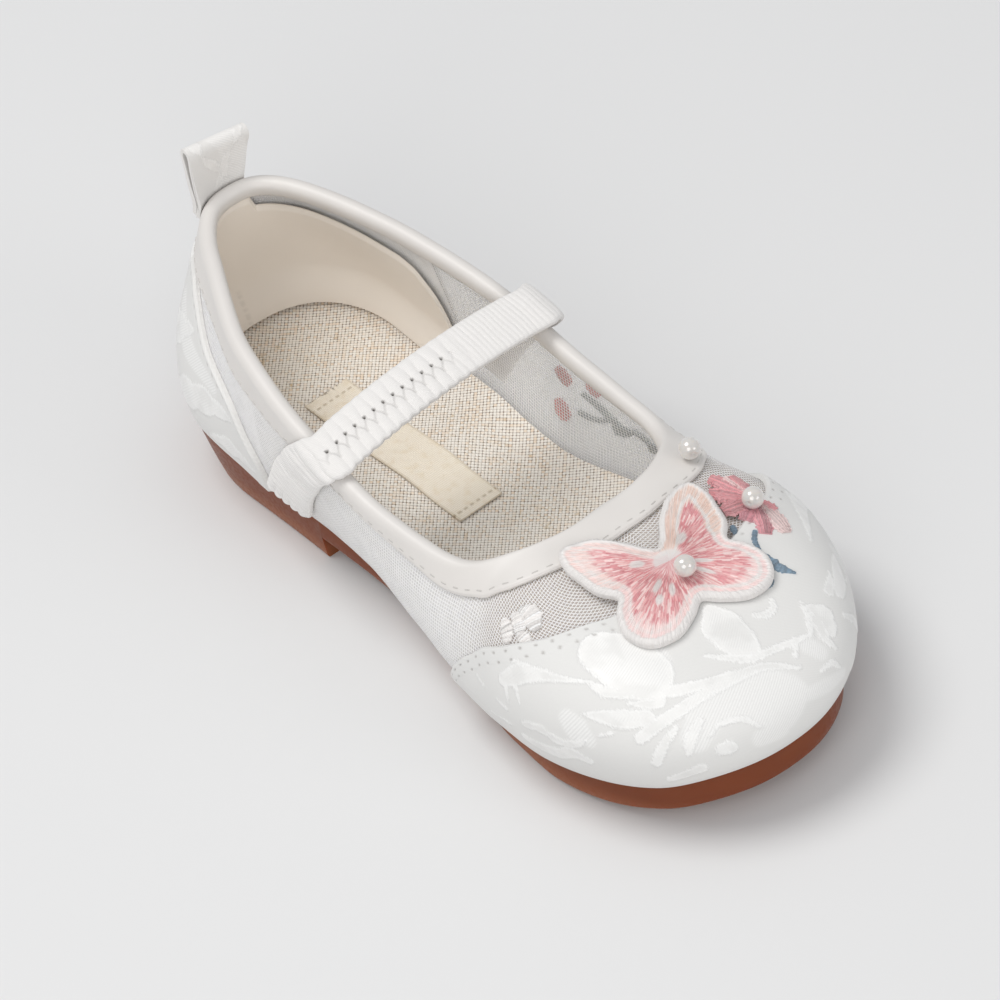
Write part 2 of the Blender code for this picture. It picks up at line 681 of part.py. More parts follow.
def centre_on_floor():
    """Moves the shoe so that the middle of its box stands on the origin."""
    bpy.context.view_layer.update()
    graph = bpy.context.evaluated_depsgraph_get()
    corners = []
    for part in bpy.data.collections[NAME].objects:
        if part.type == "MESH":
            shape = part.evaluated_get(graph)
            corners += [shape.matrix_world @ vertex.co for vertex in shape.data.vertices]
    corners = np.array(corners)
    middle = (corners.min(axis=0) + corners.max(axis=0)) / 2
    bpy.data.objects["shoe"].location = (-middle[0], -middle[1], 0.0)


def build():
    for old in list(bpy.data.objects):
        bpy.data.objects.remove(old, do_unlink=True)
    parts = bpy.data.collections.new(NAME)
    bpy.context.scene.collection.children.link(parts)
    parts.objects.link(bpy.data.objects.new("shoe", None))
    outsole(material("rubber", (0.19, 0.06, 0.03), 0.35))
    upper(material("gauze", (0.86, 0.85, 0.83), 0.8))
    insole(material("linen", (0.62, 0.52, 0.38), 0.9))
    insole_label(material("ribbon_label", (0.80, 0.72, 0.58), 0.8))
    toe_cap(material("damask_cap", (0.88, 0.87, 0.85), 0.5))
    heel_counter(material("damask_counter", (0.88, 0.87, 0.85), 0.5))
    collar_binding(material("binding", (0.86, 0.84, 0.80), 0.45))
    strap(material("elastic", (0.90, 0.89, 0.87), 0.7))
    pull_loop(material("brocade_ribbon", (0.88, 0.86, 0.83), 0.6))
    butterfly(material("embroidery", (0.85, 0.45, 0.45), 0.7))
    for row in PEARLS:
        pearl(row, material(row.name + "_glaze", (0.86, 0.83, 0.78), 0.2))
    centre_on_floor()


build()
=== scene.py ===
"""Looks of a child's mesh Mary Jane, left foot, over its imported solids.

Sizes are millimetres on the last's own axes, as in the part's source: toe towards -Y, medial side towards -X,
floor at z = 0. skin(turn, rise) is the upper's outer face: turn runs from -1 (tip of the toe) round the medial side
to 0 (middle of the heel) and round the lateral side to 1, rise from 0 at the feather line to 1 at the collar edge.
"""

import math
from collections import namedtuple

import bpy
import numpy as np
from mathutils import Matrix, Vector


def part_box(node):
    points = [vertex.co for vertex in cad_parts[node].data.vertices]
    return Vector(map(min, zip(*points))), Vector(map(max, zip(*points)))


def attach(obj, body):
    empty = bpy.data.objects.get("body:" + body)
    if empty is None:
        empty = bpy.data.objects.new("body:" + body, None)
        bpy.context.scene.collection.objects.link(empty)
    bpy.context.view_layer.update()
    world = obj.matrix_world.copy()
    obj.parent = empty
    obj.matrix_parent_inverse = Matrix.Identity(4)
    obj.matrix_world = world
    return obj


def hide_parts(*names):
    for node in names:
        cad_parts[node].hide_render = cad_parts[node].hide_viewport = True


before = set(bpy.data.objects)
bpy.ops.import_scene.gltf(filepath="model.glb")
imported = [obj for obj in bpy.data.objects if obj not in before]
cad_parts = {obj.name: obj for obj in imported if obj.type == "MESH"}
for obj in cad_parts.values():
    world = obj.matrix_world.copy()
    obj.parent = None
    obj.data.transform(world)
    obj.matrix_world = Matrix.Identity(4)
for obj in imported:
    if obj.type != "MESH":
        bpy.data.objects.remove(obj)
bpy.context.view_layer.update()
rng = np.random.default_rng(7)

MM = 0.001
LENGTH, WALL, CLEAR = 165.0, 1.2, 0.3
MEDIAL, LATERAL = -1, 1

# Tables of the last, as in the part's source: along is a share of the length or of the way round.
OUTLINE = {
    "along": (0.00, 0.10, 0.28, 0.42, 0.55, 0.70, 0.79, 1.00),
    "centre": (0.7, 0.2, -0.4, -0.7, -0.8, -0.8, -1.3, -3.9),
    "medial": (23.0, 22.8, 21.2, 20.0, 23.0, 29.4, 30.6, 29.0),
    "lateral": (23.9, 23.9, 22.8, 22.0, 26.4, 31.4, 30.6, 27.6),
}
HEEL_ROUND, TOE_ROUND, END_POWER = 0.16, 0.26, 2.3
HEEL_LENGTH, HEEL_TAPER_BACK, HEEL_TAPER_BREAST = 50.0, 3.4, 0.8
SIDE = {
    "along": (0.00, 0.12, 0.18, 0.24, 0.32, 0.38, 0.47, 0.58, 0.68, 0.76, 0.85, 0.93, 1.00),
    "under": (6.4, 6.4, 6.4, 6.2, 5.0, 3.6, 1.6, 0.0, 0.0, 0.3, 1.5, 3.6, 6.4),
    "top": (15.0, 14.9, 13.8, 12.0, 10.6, 8.2, 6.3, 5.4, 5.8, 7.2, 9.2, 11.1, 14.2),
    "inset": (1.0, 0.8, 0.3, -0.3, -0.5, -0.5, -0.5, -0.5, -0.5, -0.5, -0.5, -0.5, -0.5),
}
COLLAR_BACK, COLLAR_FRONT = 79.6, -31.2
COLLAR_BACK_ROUND, COLLAR_FRONT_ROUND, COLLAR_POWER = 0.20, 0.17, 2.4
COLLAR = {
    "along": (0.00, 0.10, 0.30, 0.50, 0.70, 0.88, 1.00),
    "centre": (3.2, 2.2, -0.2, -1.0, -1.2, -1.0, -0.4),
    "half": (12.0, 13.6, 21.1, 24.9, 26.0, 25.1, 24.0),
    "height": (47.8, 47.3, 44.0, 39.7, 33.8, 32.2, 35.7),
}
# Sections at the back, heel side, quarter, waist, throat side, throat corner, toe corner and tip.
SECTIONS = {
    "sole": (0.00, 0.12, 0.27, 0.42, 0.60, 0.70, 0.84, 1.00),
    "collar": (0.00, 0.13, 0.37, 0.60, 0.86, 0.955, 0.99, 1.00),
    "medial": (2.6, 2.6, 2.2, 6.6, 9.6, 7.4, 7.4, 7.4),
    "lateral": (2.6, 2.8, 3.0, 3.2, 4.0, 4.4, 7.4, 7.4),
    "up": (13.0, 12.0, 10.0, 9.0, 9.0, 10.0, 11.4, 11.4),
    "reach": (4.0, 3.0, 1.0, 0.4, 4.4, 11.0, 25.0, 41.0),
    "drop": (13.0, 12.0, 12.0, 10.0, 7.0, 3.6, 3.0, 4.0),
    "bed": (0.5, 0.5, 1.8, 3.0, 3.6, 3.4, 2.4, 2.4),
}
BINDING_INSIDE, BINDING_CLOTH, LEG_TOP = 1.8, 0.8, 1.0
BINDING_DEPTH = {
    "along": (0.00, 0.20, 0.26, 0.31, 0.36, 0.47, 0.53, 0.59, 0.64, 0.70, 0.76, 0.84, 0.92, 1.00),
    "depth": (6.4, 6.4, 7.0, 6.4, 4.7, 2.9, 3.5, 5.0, 7.8, 10.4, 10.9, 9.8, 8.0, 7.0),
}
OUTER, INNER = CLEAR, -WALL - CLEAR
OUTER_FACE, INNER_FACE = OUTER + BINDING_CLOTH, INNER - BINDING_CLOTH
BEAD_TOP = 1.5
CUP_DEPTH, CUP_INSET = 2.6, 2.6
INSOLE_DISH, INSOLE_FLAT, INSOLE_SHORTER = 1.0, 0.62, 0.92
TOE_CAP = {
    "along": (0.600, 0.608, 0.624, 0.650, 0.690, 0.750, 0.830, 0.900, 1.000),
    "rise": (0.14, 0.23, 0.34, 0.44, 0.52, 0.60, 0.68, 0.75, 0.79),
}
COUNTER = {
    "along": (0.000, 0.070, 0.145, 0.180, 0.228, 0.248, 0.259, 0.264),
    "rise": (0.95, 0.90, 0.73, 0.61, 0.50, 0.33, 0.20, 0.07),
}
CAP_GAP, DAMASK = 0.4, 0.8
CAP_FACE = CAP_GAP + DAMASK
STRAP = {
    "along": (0.12, 0.50, 0.83, 1.00, 1.10),
    "middle": (36.4, 30.0, 22.6, 17.6, 15.3),
    "half": (6.2, 6.0, 5.6, 5.1, 4.9),
}
STRAP_FAR_SHIFT, STRAP_FAR_HALF, STRAP_FAR_SLACK = 0.4, 0.92, 1.5
STRAP_THICK, STRAP_ARCH = 1.6, 2.2
BEND = BEAD_TOP + WALL / 2 + 0.3
LOOP_WIDTH, LOOP_ABOVE, LOOP_BELOW, LOOP_RIBBON = 13.2, 11.4, 2.6, 0.7
LOOP_FOOT, LOOP_FOOT_SHIFT, LOOP_TOP_SHIFT = 10.6, -0.6, 1.0
LOOP_OPEN, LOOP_LEAN, LOOP_SKEW = 0.9, 0.06, 1.6
LOOP_SPREAD = (1.0, 1.1, 1.15, 1.1, 1.0, 0.95, 0.9)
BUTTERFLY = {
    "along": (0, 14, 25, 33, 44, 54, 66, 80, 95, 106, 120, 134, 150, 166, 180),
    "reach": (4.2, 5.6, 11.5, 16.4, 20.2, 18.8, 16.2, 14.2, 11.9, 14.6, 17.6, 18.6, 16.8, 12.8, 10.2),
}
BUTTERFLY_TURN, BUTTERFLY_RISE, BUTTERFLY_TILT = 1.0075, 0.8225, 3.9
BUTTERFLY_OFF, BUTTERFLY_THICK = OUTER_FACE + 0.4, 1.8
Pearl = namedtuple("Pearl", "name turn rise radius under")
PEARLS = (
    Pearl("pearl_butterfly", 1.0065, 0.776, 2.1, BUTTERFLY_OFF + BUTTERFLY_THICK),
    Pearl("pearl_flower", 0.876, 0.735, 2.1, CAP_FACE),
    Pearl("pearl_collar", 0.741, 0.873, 2.1, OUTER_FACE),
)
LABEL_WIDTH, LABEL_MIDDLE, LABEL_FRONT, LABEL_BACK, LABEL_RIBBON = 10.2, 1.1, 11.2, 53.8, 0.5
LABEL_SLANT = -0.038

# model.glb stands the shoe's box on the origin; the label's corner says how far the last's own axes were moved.
label_low = np.array(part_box("insole_label")[0]) / MM
LABEL_SIDE = LABEL_MIDDLE + LABEL_SLANT * (LABEL_BACK - LABEL_FRONT) - LABEL_WIDTH / 2
SHIFT = np.array([label_low[0] - LABEL_SIDE, label_low[1] - LABEL_FRONT, 0.0])


def smooth(x, xs, ys):
    """Monotone cubic through the rows, level at both ends."""
    x, xs, ys = (np.asarray(a, float) for a in (x, xs, ys))
    step = np.diff(xs)
    rate = np.diff(ys) / step
    slope = np.zeros(len(xs))
    same = rate[:-1] * rate[1:] > 0
    near, far = 2 * step[1:] + step[:-1], step[1:] + 2 * step[:-1]
    safe_near, safe_far = np.where(same, rate[:-1], 1.0), np.where(same, rate[1:], 1.0)
    slope[1:-1] = np.where(same, (near + far) / (near / safe_near + far / safe_far), 0.0)
    i = np.clip(np.searchsorted(xs, x) - 1, 0, len(step) - 1)
    t = np.clip((x - xs[i]) / step[i], 0.0, 1.0)
    low = (1 + 2 * t) * (1 - t) ** 2 * ys[i] + t * (1 - t) ** 2 * step[i] * slope[i]
    high = t * t * (3 - 2 * t) * ys[i + 1] - t * t * (1 - t) * step[i] * slope[i + 1]
    return low + high


def smooth_open(x, xs, ys):
    ghost_x = [2 * xs[0] - xs[1], *xs, 2 * xs[-1] - xs[-2]]
    ghost_y = [2 * ys[0] - ys[1], *ys, 2 * ys[-1] - ys[-2]]
    return smooth(x, ghost_x, ghost_y)


def table(rows, name, x):
    return smooth(x, rows["along"], rows[name])


def rounded(along, back, front, power):
    behind = np.clip(1 - along / back, 0, 1)
    ahead = np.clip((along - 1 + front) / front, 0, 1)
    return (1 - behind**power) ** (1 / power) * (1 - ahead**power) ** (1 / power)


def unit(v):
    return v / np.maximum(np.linalg.norm(v, axis=-1, keepdims=True), 1e-9)


def fade(x, low, high):
    """0 below low, 1 above high, smooth between. low may be the larger one."""
    t = np.clip((np.asarray(x, float) - low) / (high - low), 0, 1)
    return t * t * (3 - 2 * t)


def run_of(points, axis=0):
    """Distances from the first point along rows of points."""
    axis %= points.ndim
    steps = np.linalg.norm(np.diff(points, axis=axis, prepend=np.take(points, [0], axis)), axis=-1)
    return np.cumsum(steps, axis)


FINE = 0.5 - 0.5 * np.cos(np.linspace(0, math.pi, 801))


def fine_outline(side):
    half = table(OUTLINE, "medial" if side == MEDIAL else "lateral", FINE)
    x = table(OUTLINE, "centre", FINE) + side * half * rounded(FINE, HEEL_ROUND, TOE_ROUND, END_POWER)
    points = np.stack([x, LENGTH * (0.5 - FINE)], -1)
    forward = np.gradient(points, axis=0)
    forward[[0, -1]] = [[side, 0], [-side, 0]]
    return points, unit(np.stack([-side * forward[:, 1], side * forward[:, 0]], -1))


OUTLINES = {side: fine_outline(side) for side in (MEDIAL, LATERAL)}


def edge(side, along, inset=0.0):
    points, normal = OUTLINES[side]
    moved = points - normal * np.interp(FINE, along, np.broadcast_to(inset, np.shape(along)))[:, None]
    return np.stack([np.interp(along, FINE, moved[:, k]) for k in range(2)], -1)


SHARE = np.linspace(0, 1, 401)


def fine_section_frame(side):
    """The four Bezier points of the upper's sections, at even steps along the feather line of one side."""
    outline, normal = OUTLINES[side]
    feather = outline - normal * table(SIDE, "inset", FINE)[:, None]
    feather = np.column_stack([feather, table(SIDE, "top", FINE) + CLEAR])
    half = table(COLLAR, "half", FINE) * rounded(FINE, COLLAR_BACK_ROUND, COLLAR_FRONT_ROUND, COLLAR_POWER)
    x = table(COLLAR, "centre", FINE) + side * half
    y = COLLAR_BACK + (COLLAR_FRONT - COLLAR_BACK) * FINE
    collar = np.stack([x, y, table(COLLAR, "height", FINE)], -1)
    feather_share, collar_share = (run_of(line) / run_of(line)[-1] for line in (feather, collar))
    along = np.interp(SHARE, feather_share, FINE)
    row_share = np.interp(SECTIONS["sole"], FINE, feather_share)
    row_collar = np.interp(SECTIONS["collar"], FINE, collar_share)

    def at(curve, curve_share, places):
        return np.stack([np.interp(places, curve_share, curve[:, k]) for k in range(curve.shape[1])], -1)

    foot = at(feather, feather_share, SHARE)
    top = at(collar, collar_share, np.clip(smooth_open(SHARE, row_share, row_collar), 0, 1))
    outward = unit(np.stack([np.interp(along, FINE, normal[:, k]) for k in range(2)], -1))
    outward = np.column_stack([outward, np.zeros(len(SHARE))])
    columns = ("medial" if side == MEDIAL else "lateral", "up", "reach", "drop")
    out, up, reach, drop = (smooth(SHARE, row_share, SECTIONS[name])[:, None] for name in columns)
    rise = np.array([0.0, 0.0, 1.0])
    return np.stack([foot, foot + outward * out + rise * up, top + outward * reach - rise * drop, top], 1)


FRAMES = np.stack([fine_section_frame(MEDIAL), fine_section_frame(LATERAL)])
MEDIAL_RUN = run_of(OUTLINES[MEDIAL][0])
BED_SHARE = np.interp(SECTIONS["sole"], FINE, MEDIAL_RUN / MEDIAL_RUN[-1])


def wrap(turn):
    return (np.asarray(turn, float) + 1) % 2 - 1


def skin(turn, rise):
    turn, rise = np.broadcast_arrays(wrap(turn), np.asarray(rise, float))
    place = np.abs(turn) * (len(SHARE) - 1)
    i = np.clip(place.astype(int), 0, len(SHARE) - 2)
    part = (place - i)[..., None, None]
    which = (turn > 0).astype(int)
    control = FRAMES[which, i] * (1 - part) + FRAMES[which, i + 1] * part
    t = rise[..., None]
    return (
        (1 - t) ** 3 * control[..., 0, :]
        + 3 * t * (1 - t) ** 2 * control[..., 1, :]
        + 3 * t * t * (1 - t) * control[..., 2, :]
        + t**3 * control[..., 3, :]
    )


def skin_frame(turn, rise, step=0.004):
    """Point, unit normal outwards and unit direction up the section."""
    turn, rise = np.broadcast_arrays(np.asarray(turn, float), np.asarray(rise, float))
    around = skin(turn + step, rise) - skin(turn - step, rise)
    upward = unit(skin(turn, np.clip(rise + step, -0.02, 1)) - skin(turn, np.clip(rise - step, -0.02, 1)))
    return skin(turn, rise), unit(np.cross(upward, around)), upward


def over(turn, rise, off):
    point, normal, _ = skin_frame(turn, rise)
    return point + normal * np.broadcast_to(np.asarray(off, float), normal.shape[:-1])[..., None]


def rise_below(turn, distance):
    """The rise of the points this far below the collar edge, measured along each section."""
    turn, distance = np.broadcast_arrays(np.asarray(turn, float), np.asarray(distance, float))
    rises = np.linspace(1, 0, 81)
    runs = run_of(skin(turn[..., None], rises), -2).reshape(-1, len(rises))
    found = [np.interp(wanted, run, rises) for wanted, run in zip(distance.ravel(), runs)]
    return np.reshape(found, turn.shape)


def past_rim(turn, along, off):
    """A point along the wall from the collar edge, also above it, off its outer face."""
    along = np.broadcast_to(along, np.shape(turn))
    point, normal, upward = skin_frame(turn, rise_below(turn, np.maximum(-along, 0.0)))
    return point + normal * off + upward * np.maximum(along, 0.0)[..., None]


def binding_depth(turn):
    return table(BINDING_DEPTH, "depth", np.abs(wrap(turn)))


def turn_at(side, y, rise):
    share = np.linspace(0.02, 0.80, 200)
    line = skin(side * share, np.full(200, rise))[:, 1]
    return side * np.interp(-y, -line, share)


def resample(points, count, axis=0):
    """Cubic through a row of points at even steps of its mean length. Returns the points and their places in mm."""
    rows = np.moveaxis(np.asarray(points, float), axis, 0)
    flat = rows.reshape(len(rows), -1)
    gap = np.linalg.norm(np.diff(rows, axis=0), axis=-1).reshape(len(rows) - 1, -1).mean(1)
    run = np.concatenate([[0], np.cumsum(gap)])
    at = np.linspace(0, run[-1], count)
    slope = np.gradient(flat, run, axis=0)
    i = np.clip(np.searchsorted(run, at, side="right") - 1, 0, len(gap) - 1)
    h, t = gap[i][:, None], ((at - run[i]) / gap[i])[:, None]
    found = (1 + 2 * t) * (1 - t) ** 2 * flat[i] + t * (1 - t) ** 2 * h * slope[i]
    found += t * t * (3 - 2 * t) * flat[i + 1] - t * t * (1 - t) * h * slope[i + 1]
    return np.moveaxis(found.reshape(count, *rows.shape[1:]), 0, axis), at


def normals_of(grid, closed=False):
    """Unit normals of a grid (around, up) whose faces look along up x around."""
    if closed:
        wide = np.concatenate([grid[-1:], grid, grid[:1]])
        around = (wide[2:] - wide[:-2]) / 2
    else:
        around = np.gradient(grid, axis=0)
    return unit(np.cross(np.gradient(grid, axis=1), around))


class Shape:
    """Points, faces, uv in mm and per-point values of one piece, added patch by patch."""

    def __init__(self):
        self.points, self.home, self.faces, self.corners = [], [], [], []
        self.values, self.count = {}, 0

    def grid(self, grid, uv=None, closed=False, ring=False, flip=False, **values):
        around, up = grid.shape[:2]
        if uv is None:
            uv = np.zeros((around + closed, up + ring, 2))
        i, j = np.meshgrid(np.arange(around - 1 + closed), np.arange(up - 1 + ring), indexing="ij")
        steps = ((0, 0), (0, 1), (1, 1), (1, 0))
        steps = steps[::-1] if flip else steps
        quads = np.stack([(i + a) % around * up + (j + b) % up for a, b in steps], -1).reshape(-1, 4)
        places = np.stack([(i + a) * uv.shape[1] + j + b for a, b in steps], -1).reshape(-1)
        self.faces += (quads + self.count).tolist()
        self.corners.append(uv.reshape(-1, 2)[places])
        self.home.append(uv[:around, :up].reshape(-1, 2))
        self.points.append(grid.reshape(-1, 3))
        for name, value in values.items():
            value = np.asarray(value, float)
            full = (around, up, 3) if value.shape[-1:] == (3,) else (around, up)
            flat = np.broadcast_to(value, full).reshape(around * up, -1)
            self.values.setdefault(name, []).append((self.count, flat))
        index = self.count + np.arange(around * up).reshape(around, up)
        self.count += around * up
        return index

    def face(self, corners):
        self.faces += [list(map(int, face)) for face in corners]
        self.corners.append(np.concatenate(self.home)[np.concatenate(corners).astype(int)])

    def join(self, first, second, closed=False):
        ends = range(len(first) if closed else len(first) - 1)
        self.face([(first[i], first[(i + 1) % len(first)], second[(i + 1) % len(first)], second[i]) for i in ends])

    def shell(self, outer, inner, uv=None, closed=False, **values):
        """A sheet with both faces and its rims. The inner grid may have fewer rows than the outer one."""
        rows = np.linspace(0, outer.shape[1] - 1, inner.shape[1]).round().astype(int)
        a = self.grid(outer, uv, closed, **values)
        inside = {}
        for name, value in values.items():
            value = np.asarray(value, float)
            full = value.ndim > 1 and value.shape[:2] == outer.shape[:2]
            inside[name] = value[:, rows] if full else value
        b = self.grid(inner, None if uv is None else uv[:, rows], closed, flip=True, **inside)
        self.join(b[:, 0], a[:, 0], closed)
        self.join(a[:, -1], b[:, -1], closed)
        if not closed:
            self.face([[*a[0, ::-1], *b[0]], [*a[-1], *b[-1, ::-1]]])
        return a, b

    def make(self, name, look, replaces=(), sharp=40):
        mesh = bpy.data.meshes.new(name)
        points = (np.concatenate(self.points) + SHIFT) * MM
        mesh.from_pydata(points.tolist(), [], self.faces)
        mesh.uv_layers.new(name="mm").data.foreach_set("uv", np.concatenate(self.corners).ravel())
        for key, blocks in sorted(self.values.items()):
            tint = blocks[0][1].shape[1] == 3
            stored = np.ones((self.count, 4), np.float32) if tint else np.zeros((self.count, 1), np.float32)
            for start, block in blocks:
                stored[start : start + len(block), : block.shape[1]] = block
            layer = mesh.attributes.new(key, "FLOAT_COLOR" if tint else "FLOAT", "POINT")
            layer.data.foreach_set("color" if tint else "value", stored.ravel())
        mesh.polygons.foreach_set("use_smooth", np.ones(len(mesh.polygons), bool))
        mesh.set_sharp_from_angle(angle=math.radians(sharp))
        made = bpy.data.objects.new(name, mesh)
        bpy.context.scene.collection.objects.link(made)
        mesh.materials.append(look.material)
        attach(made, "root")
        if replaces:
            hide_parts(*replaces)
        return made


class Wire:
    """A value inside a material. Arithmetic on it adds the nodes that do it."""

    def __init__(self, look, socket):
        self.look, self.socket = look, socket

    def __add__(self, other):
        return self.look.math("ADD", self, other)

    def __sub__(self, other):
        return self.look.math("SUBTRACT", self, other)

    def __rsub__(self, other):
        return self.look.math("SUBTRACT", other, self)

    def __mul__(self, other):
        return self.look.math("MULTIPLY", self, other)

    def __truediv__(self, other):
        return self.look.math("DIVIDE", self, other)


class Look:
    """A Principled material, with short calls for its nodes."""

    def __init__(self, name, **sockets):
        self.material = bpy.data.materials.new(name)
        self.material.use_nodes = True
        self.tree = self.material.node_tree
        self.shader = self.tree.nodes["Principled BSDF"]
        self.drive(**sockets)

    def set(self, socket, value):
        if isinstance(value, Wire):
            self.tree.links.new(value.socket, socket)
        elif isinstance(value, tuple) and len(value) == 3 and len(socket.default_value) == 4:
            socket.default_value = (*value, 1.0)
        else:
            socket.default_value = value

    def drive(self, **sockets):
        for socket, value in sockets.items():
            self.set(self.shader.inputs[socket.replace("_", " ")], value)

    def node(self, kind, inputs, output=0, **settings):
        made = self.tree.nodes.new("ShaderNode" + kind)
        for key, value in settings.items():
            setattr(made, key, value)
        for key, value in inputs.items():
            self.set(made.inputs[key], value)
        return Wire(self, made.outputs[output])

    def math(self, operation, *values):
        return self.node("Math", dict(enumerate(values)), operation=operation)

    def value(self, name, output="Fac"):
        return self.node("Attribute", {}, output, attribute_name=name)

    def uv(self):
        place = self.node("UVMap", {}, uv_map="mm")
        return [self.node("SeparateXYZ", {0: place}, axis) for axis in range(2)]

    def millimetres(self):
        """Places in the object, in millimetres."""
        place = self.node("TexCoord", {}, "Object")
        return self.node("VectorMath", {0: place, "Scale": 1 / MM}, operation="SCALE")

    def noise(self, vector, scale=1.0, detail=2.0, rough=0.5):
        return self.node("TexNoise", {"Vector": vector, "Scale": scale, "Detail": detail, "Roughness": rough})

    def grain(self, u, v, scale=1.0, detail=2.0, rough=0.5):
        """Noise over a cloth's own two directions."""
        return self.noise(self.node("CombineXYZ", {0: u, 1: v}), scale, detail, rough)

    def between(self, value, low, high, to_low=0.0, to_high=1.0):
        sockets = {"Value": value, "From Min": low, "From Max": high, "To Min": to_low, "To Max": to_high}
        return self.node("MapRange", sockets, interpolation_type="SMOOTHSTEP")

    def mix(self, factor, first, second):
        return self.node("Mix", {0: factor, 6: first, 7: second}, 2, data_type="RGBA")

    def ridge(self, value, pitch):
        """0 to 1 and back over each pitch."""
        return self.math("PINGPONG", value, pitch / 2) / (pitch / 2)

    def bump(self, height, distance, strength):
        return self.node("Bump", {"Height": height, "Distance": distance * MM, "Strength": strength})


GAUZE_PITCH, LINEN_PITCH = 0.7, 0.66 * math.sqrt(2)


def gauze_look():
    """Plain open weave: the threads cover, the gaps between them are as close as the piece says."""
    look = Look("gauze", Roughness=0.7, Sheen_Weight=0.15, Subsurface_Weight=0.5, Subsurface_Scale=1.0)
    u, v = look.uv()
    weave = look.math("MAXIMUM", look.ridge(u, GAUZE_PITCH), look.ridge(v, GAUZE_PITCH))
    thread = look.between(weave, 0.52, 0.82)
    close = look.value("close") + look.between(look.grain(u, v, 0.35), 0.3, 0.7, -0.06, 0.06)
    # The gaps' colour stands for what shows through them: light grey on the sides, and on the vamp a brown painted
    # shade of the shoe's dark inside.
    gap = look.mix(look.value("shade"), (0.83, 0.81, 0.79), (0.50, 0.42, 0.37))
    look.drive(Alpha=close + thread * (0.92 - close), Base_Color=look.mix(thread, gap, (0.95, 0.94, 0.925)))
    look.drive(Subsurface_Radius=(0.002, 0.002, 0.0018), Normal=look.bump(weave, 0.14, 0.6))
    return look


def damask_look(name, warm=0.0):
    """Satin figure on a plain ground. edge is the distance to the figure's outline in mm, below zero inside it."""
    look = Look(name, Sheen_Weight=0.12, Sheen_Roughness=0.4)
    u, v = look.uv()
    weave = look.grain(u, v, 2.6, 2.0, 0.6)
    twill, fine_twill = look.ridge(u * 0.8 + v, 0.62), look.ridge(u * 0.7 - v, 0.36)
    teeth = look.grain(u * 3.4, v * 0.8, 1.0, 2.0, 0.6)
    edge_at = look.value("edge") + (teeth - 0.5) * 1.9
    figure = look.between(edge_at, -0.25, 0.2, 1.0, 0.0)
    rim = figure * look.between(edge_at, -0.7, -0.2)
    core = look.between(edge_at, -2.2, -0.8, 0.85, 0.0)
    half = look.value("half") * look.between(weave, 0.3, 0.55, 0.6, 1.0)
    hatched = look.mix(twill, (0.755, 0.75, 0.735), (0.87, 0.865, 0.85))
    ground = look.mix(fine_twill * weave, (0.72, 0.714, 0.697), (0.795, 0.788, 0.77))
    ground = look.mix(half, ground, hatched)
    # The figure's outline is the weave's own pattern; its lighter tone, its streaks, its broad brighter patches and
    # its bright rim are painted sheen of the satin.
    satin = look.grain(u * 4.0, v * 0.5) * look.between(fine_twill, 0.0, 1.0, 0.5, 1.3)
    shine = look.mix(satin, (0.79, 0.784, 0.767), (0.90, 0.893, 0.876))
    shine = look.mix(core, shine, hatched)
    patch = look.between(look.grain(u, v, 0.2), 0.36, 0.60, 0.3, 1.0)
    colour = look.mix(figure * patch, ground, shine)
    colour = look.mix(rim * 0.55, colour, (0.93, 0.928, 0.915))
    colour = look.mix(warm, colour, (0.98, 0.91, 0.86))
    # Stitch holes turn dark grey: painted shade in their dents.
    look.drive(Base_Color=look.mix(look.value("hole"), colour, (0.40, 0.38, 0.36)))
    look.drive(Roughness=look.between(figure, 0.0, 1.0, 0.6, 0.38))
    fine = twill * look.math("MAXIMUM", half, core) + weave * 0.6
    look.drive(Normal=look.bump(figure * 0.9 + rim * 0.5 + fine * 0.4, 0.12, 0.5))
    return look


def binding_look():
    look = Look("binding", Coat_Weight=0.08, Coat_Roughness=0.3)
    place = look.millimetres()
    grain = look.noise(place, 3.2, 3.0, 0.6)
    look.drive(Base_Color=look.mix(look.noise(place, 0.12), (0.705, 0.675, 0.645), (0.75, 0.72, 0.69)))
    look.drive(Roughness=look.between(grain, 0.3, 0.7, 0.36, 0.5), Normal=look.bump(grain, 0.05, 0.25))
    return look


def lining_look():
    look = Look("lining", Roughness=0.5)
    place = look.millimetres()
    colour = look.mix(look.noise(place, 0.06), (0.85, 0.785, 0.705), (0.91, 0.845, 0.765))
    look.drive(Base_Color=look.mix(look.value("dark"), colour, (0.16, 0.125, 0.09)))
    look.drive(Normal=look.bump(look.noise(place, 2.4, 3.0, 0.6), 0.05, 0.25))
    return look


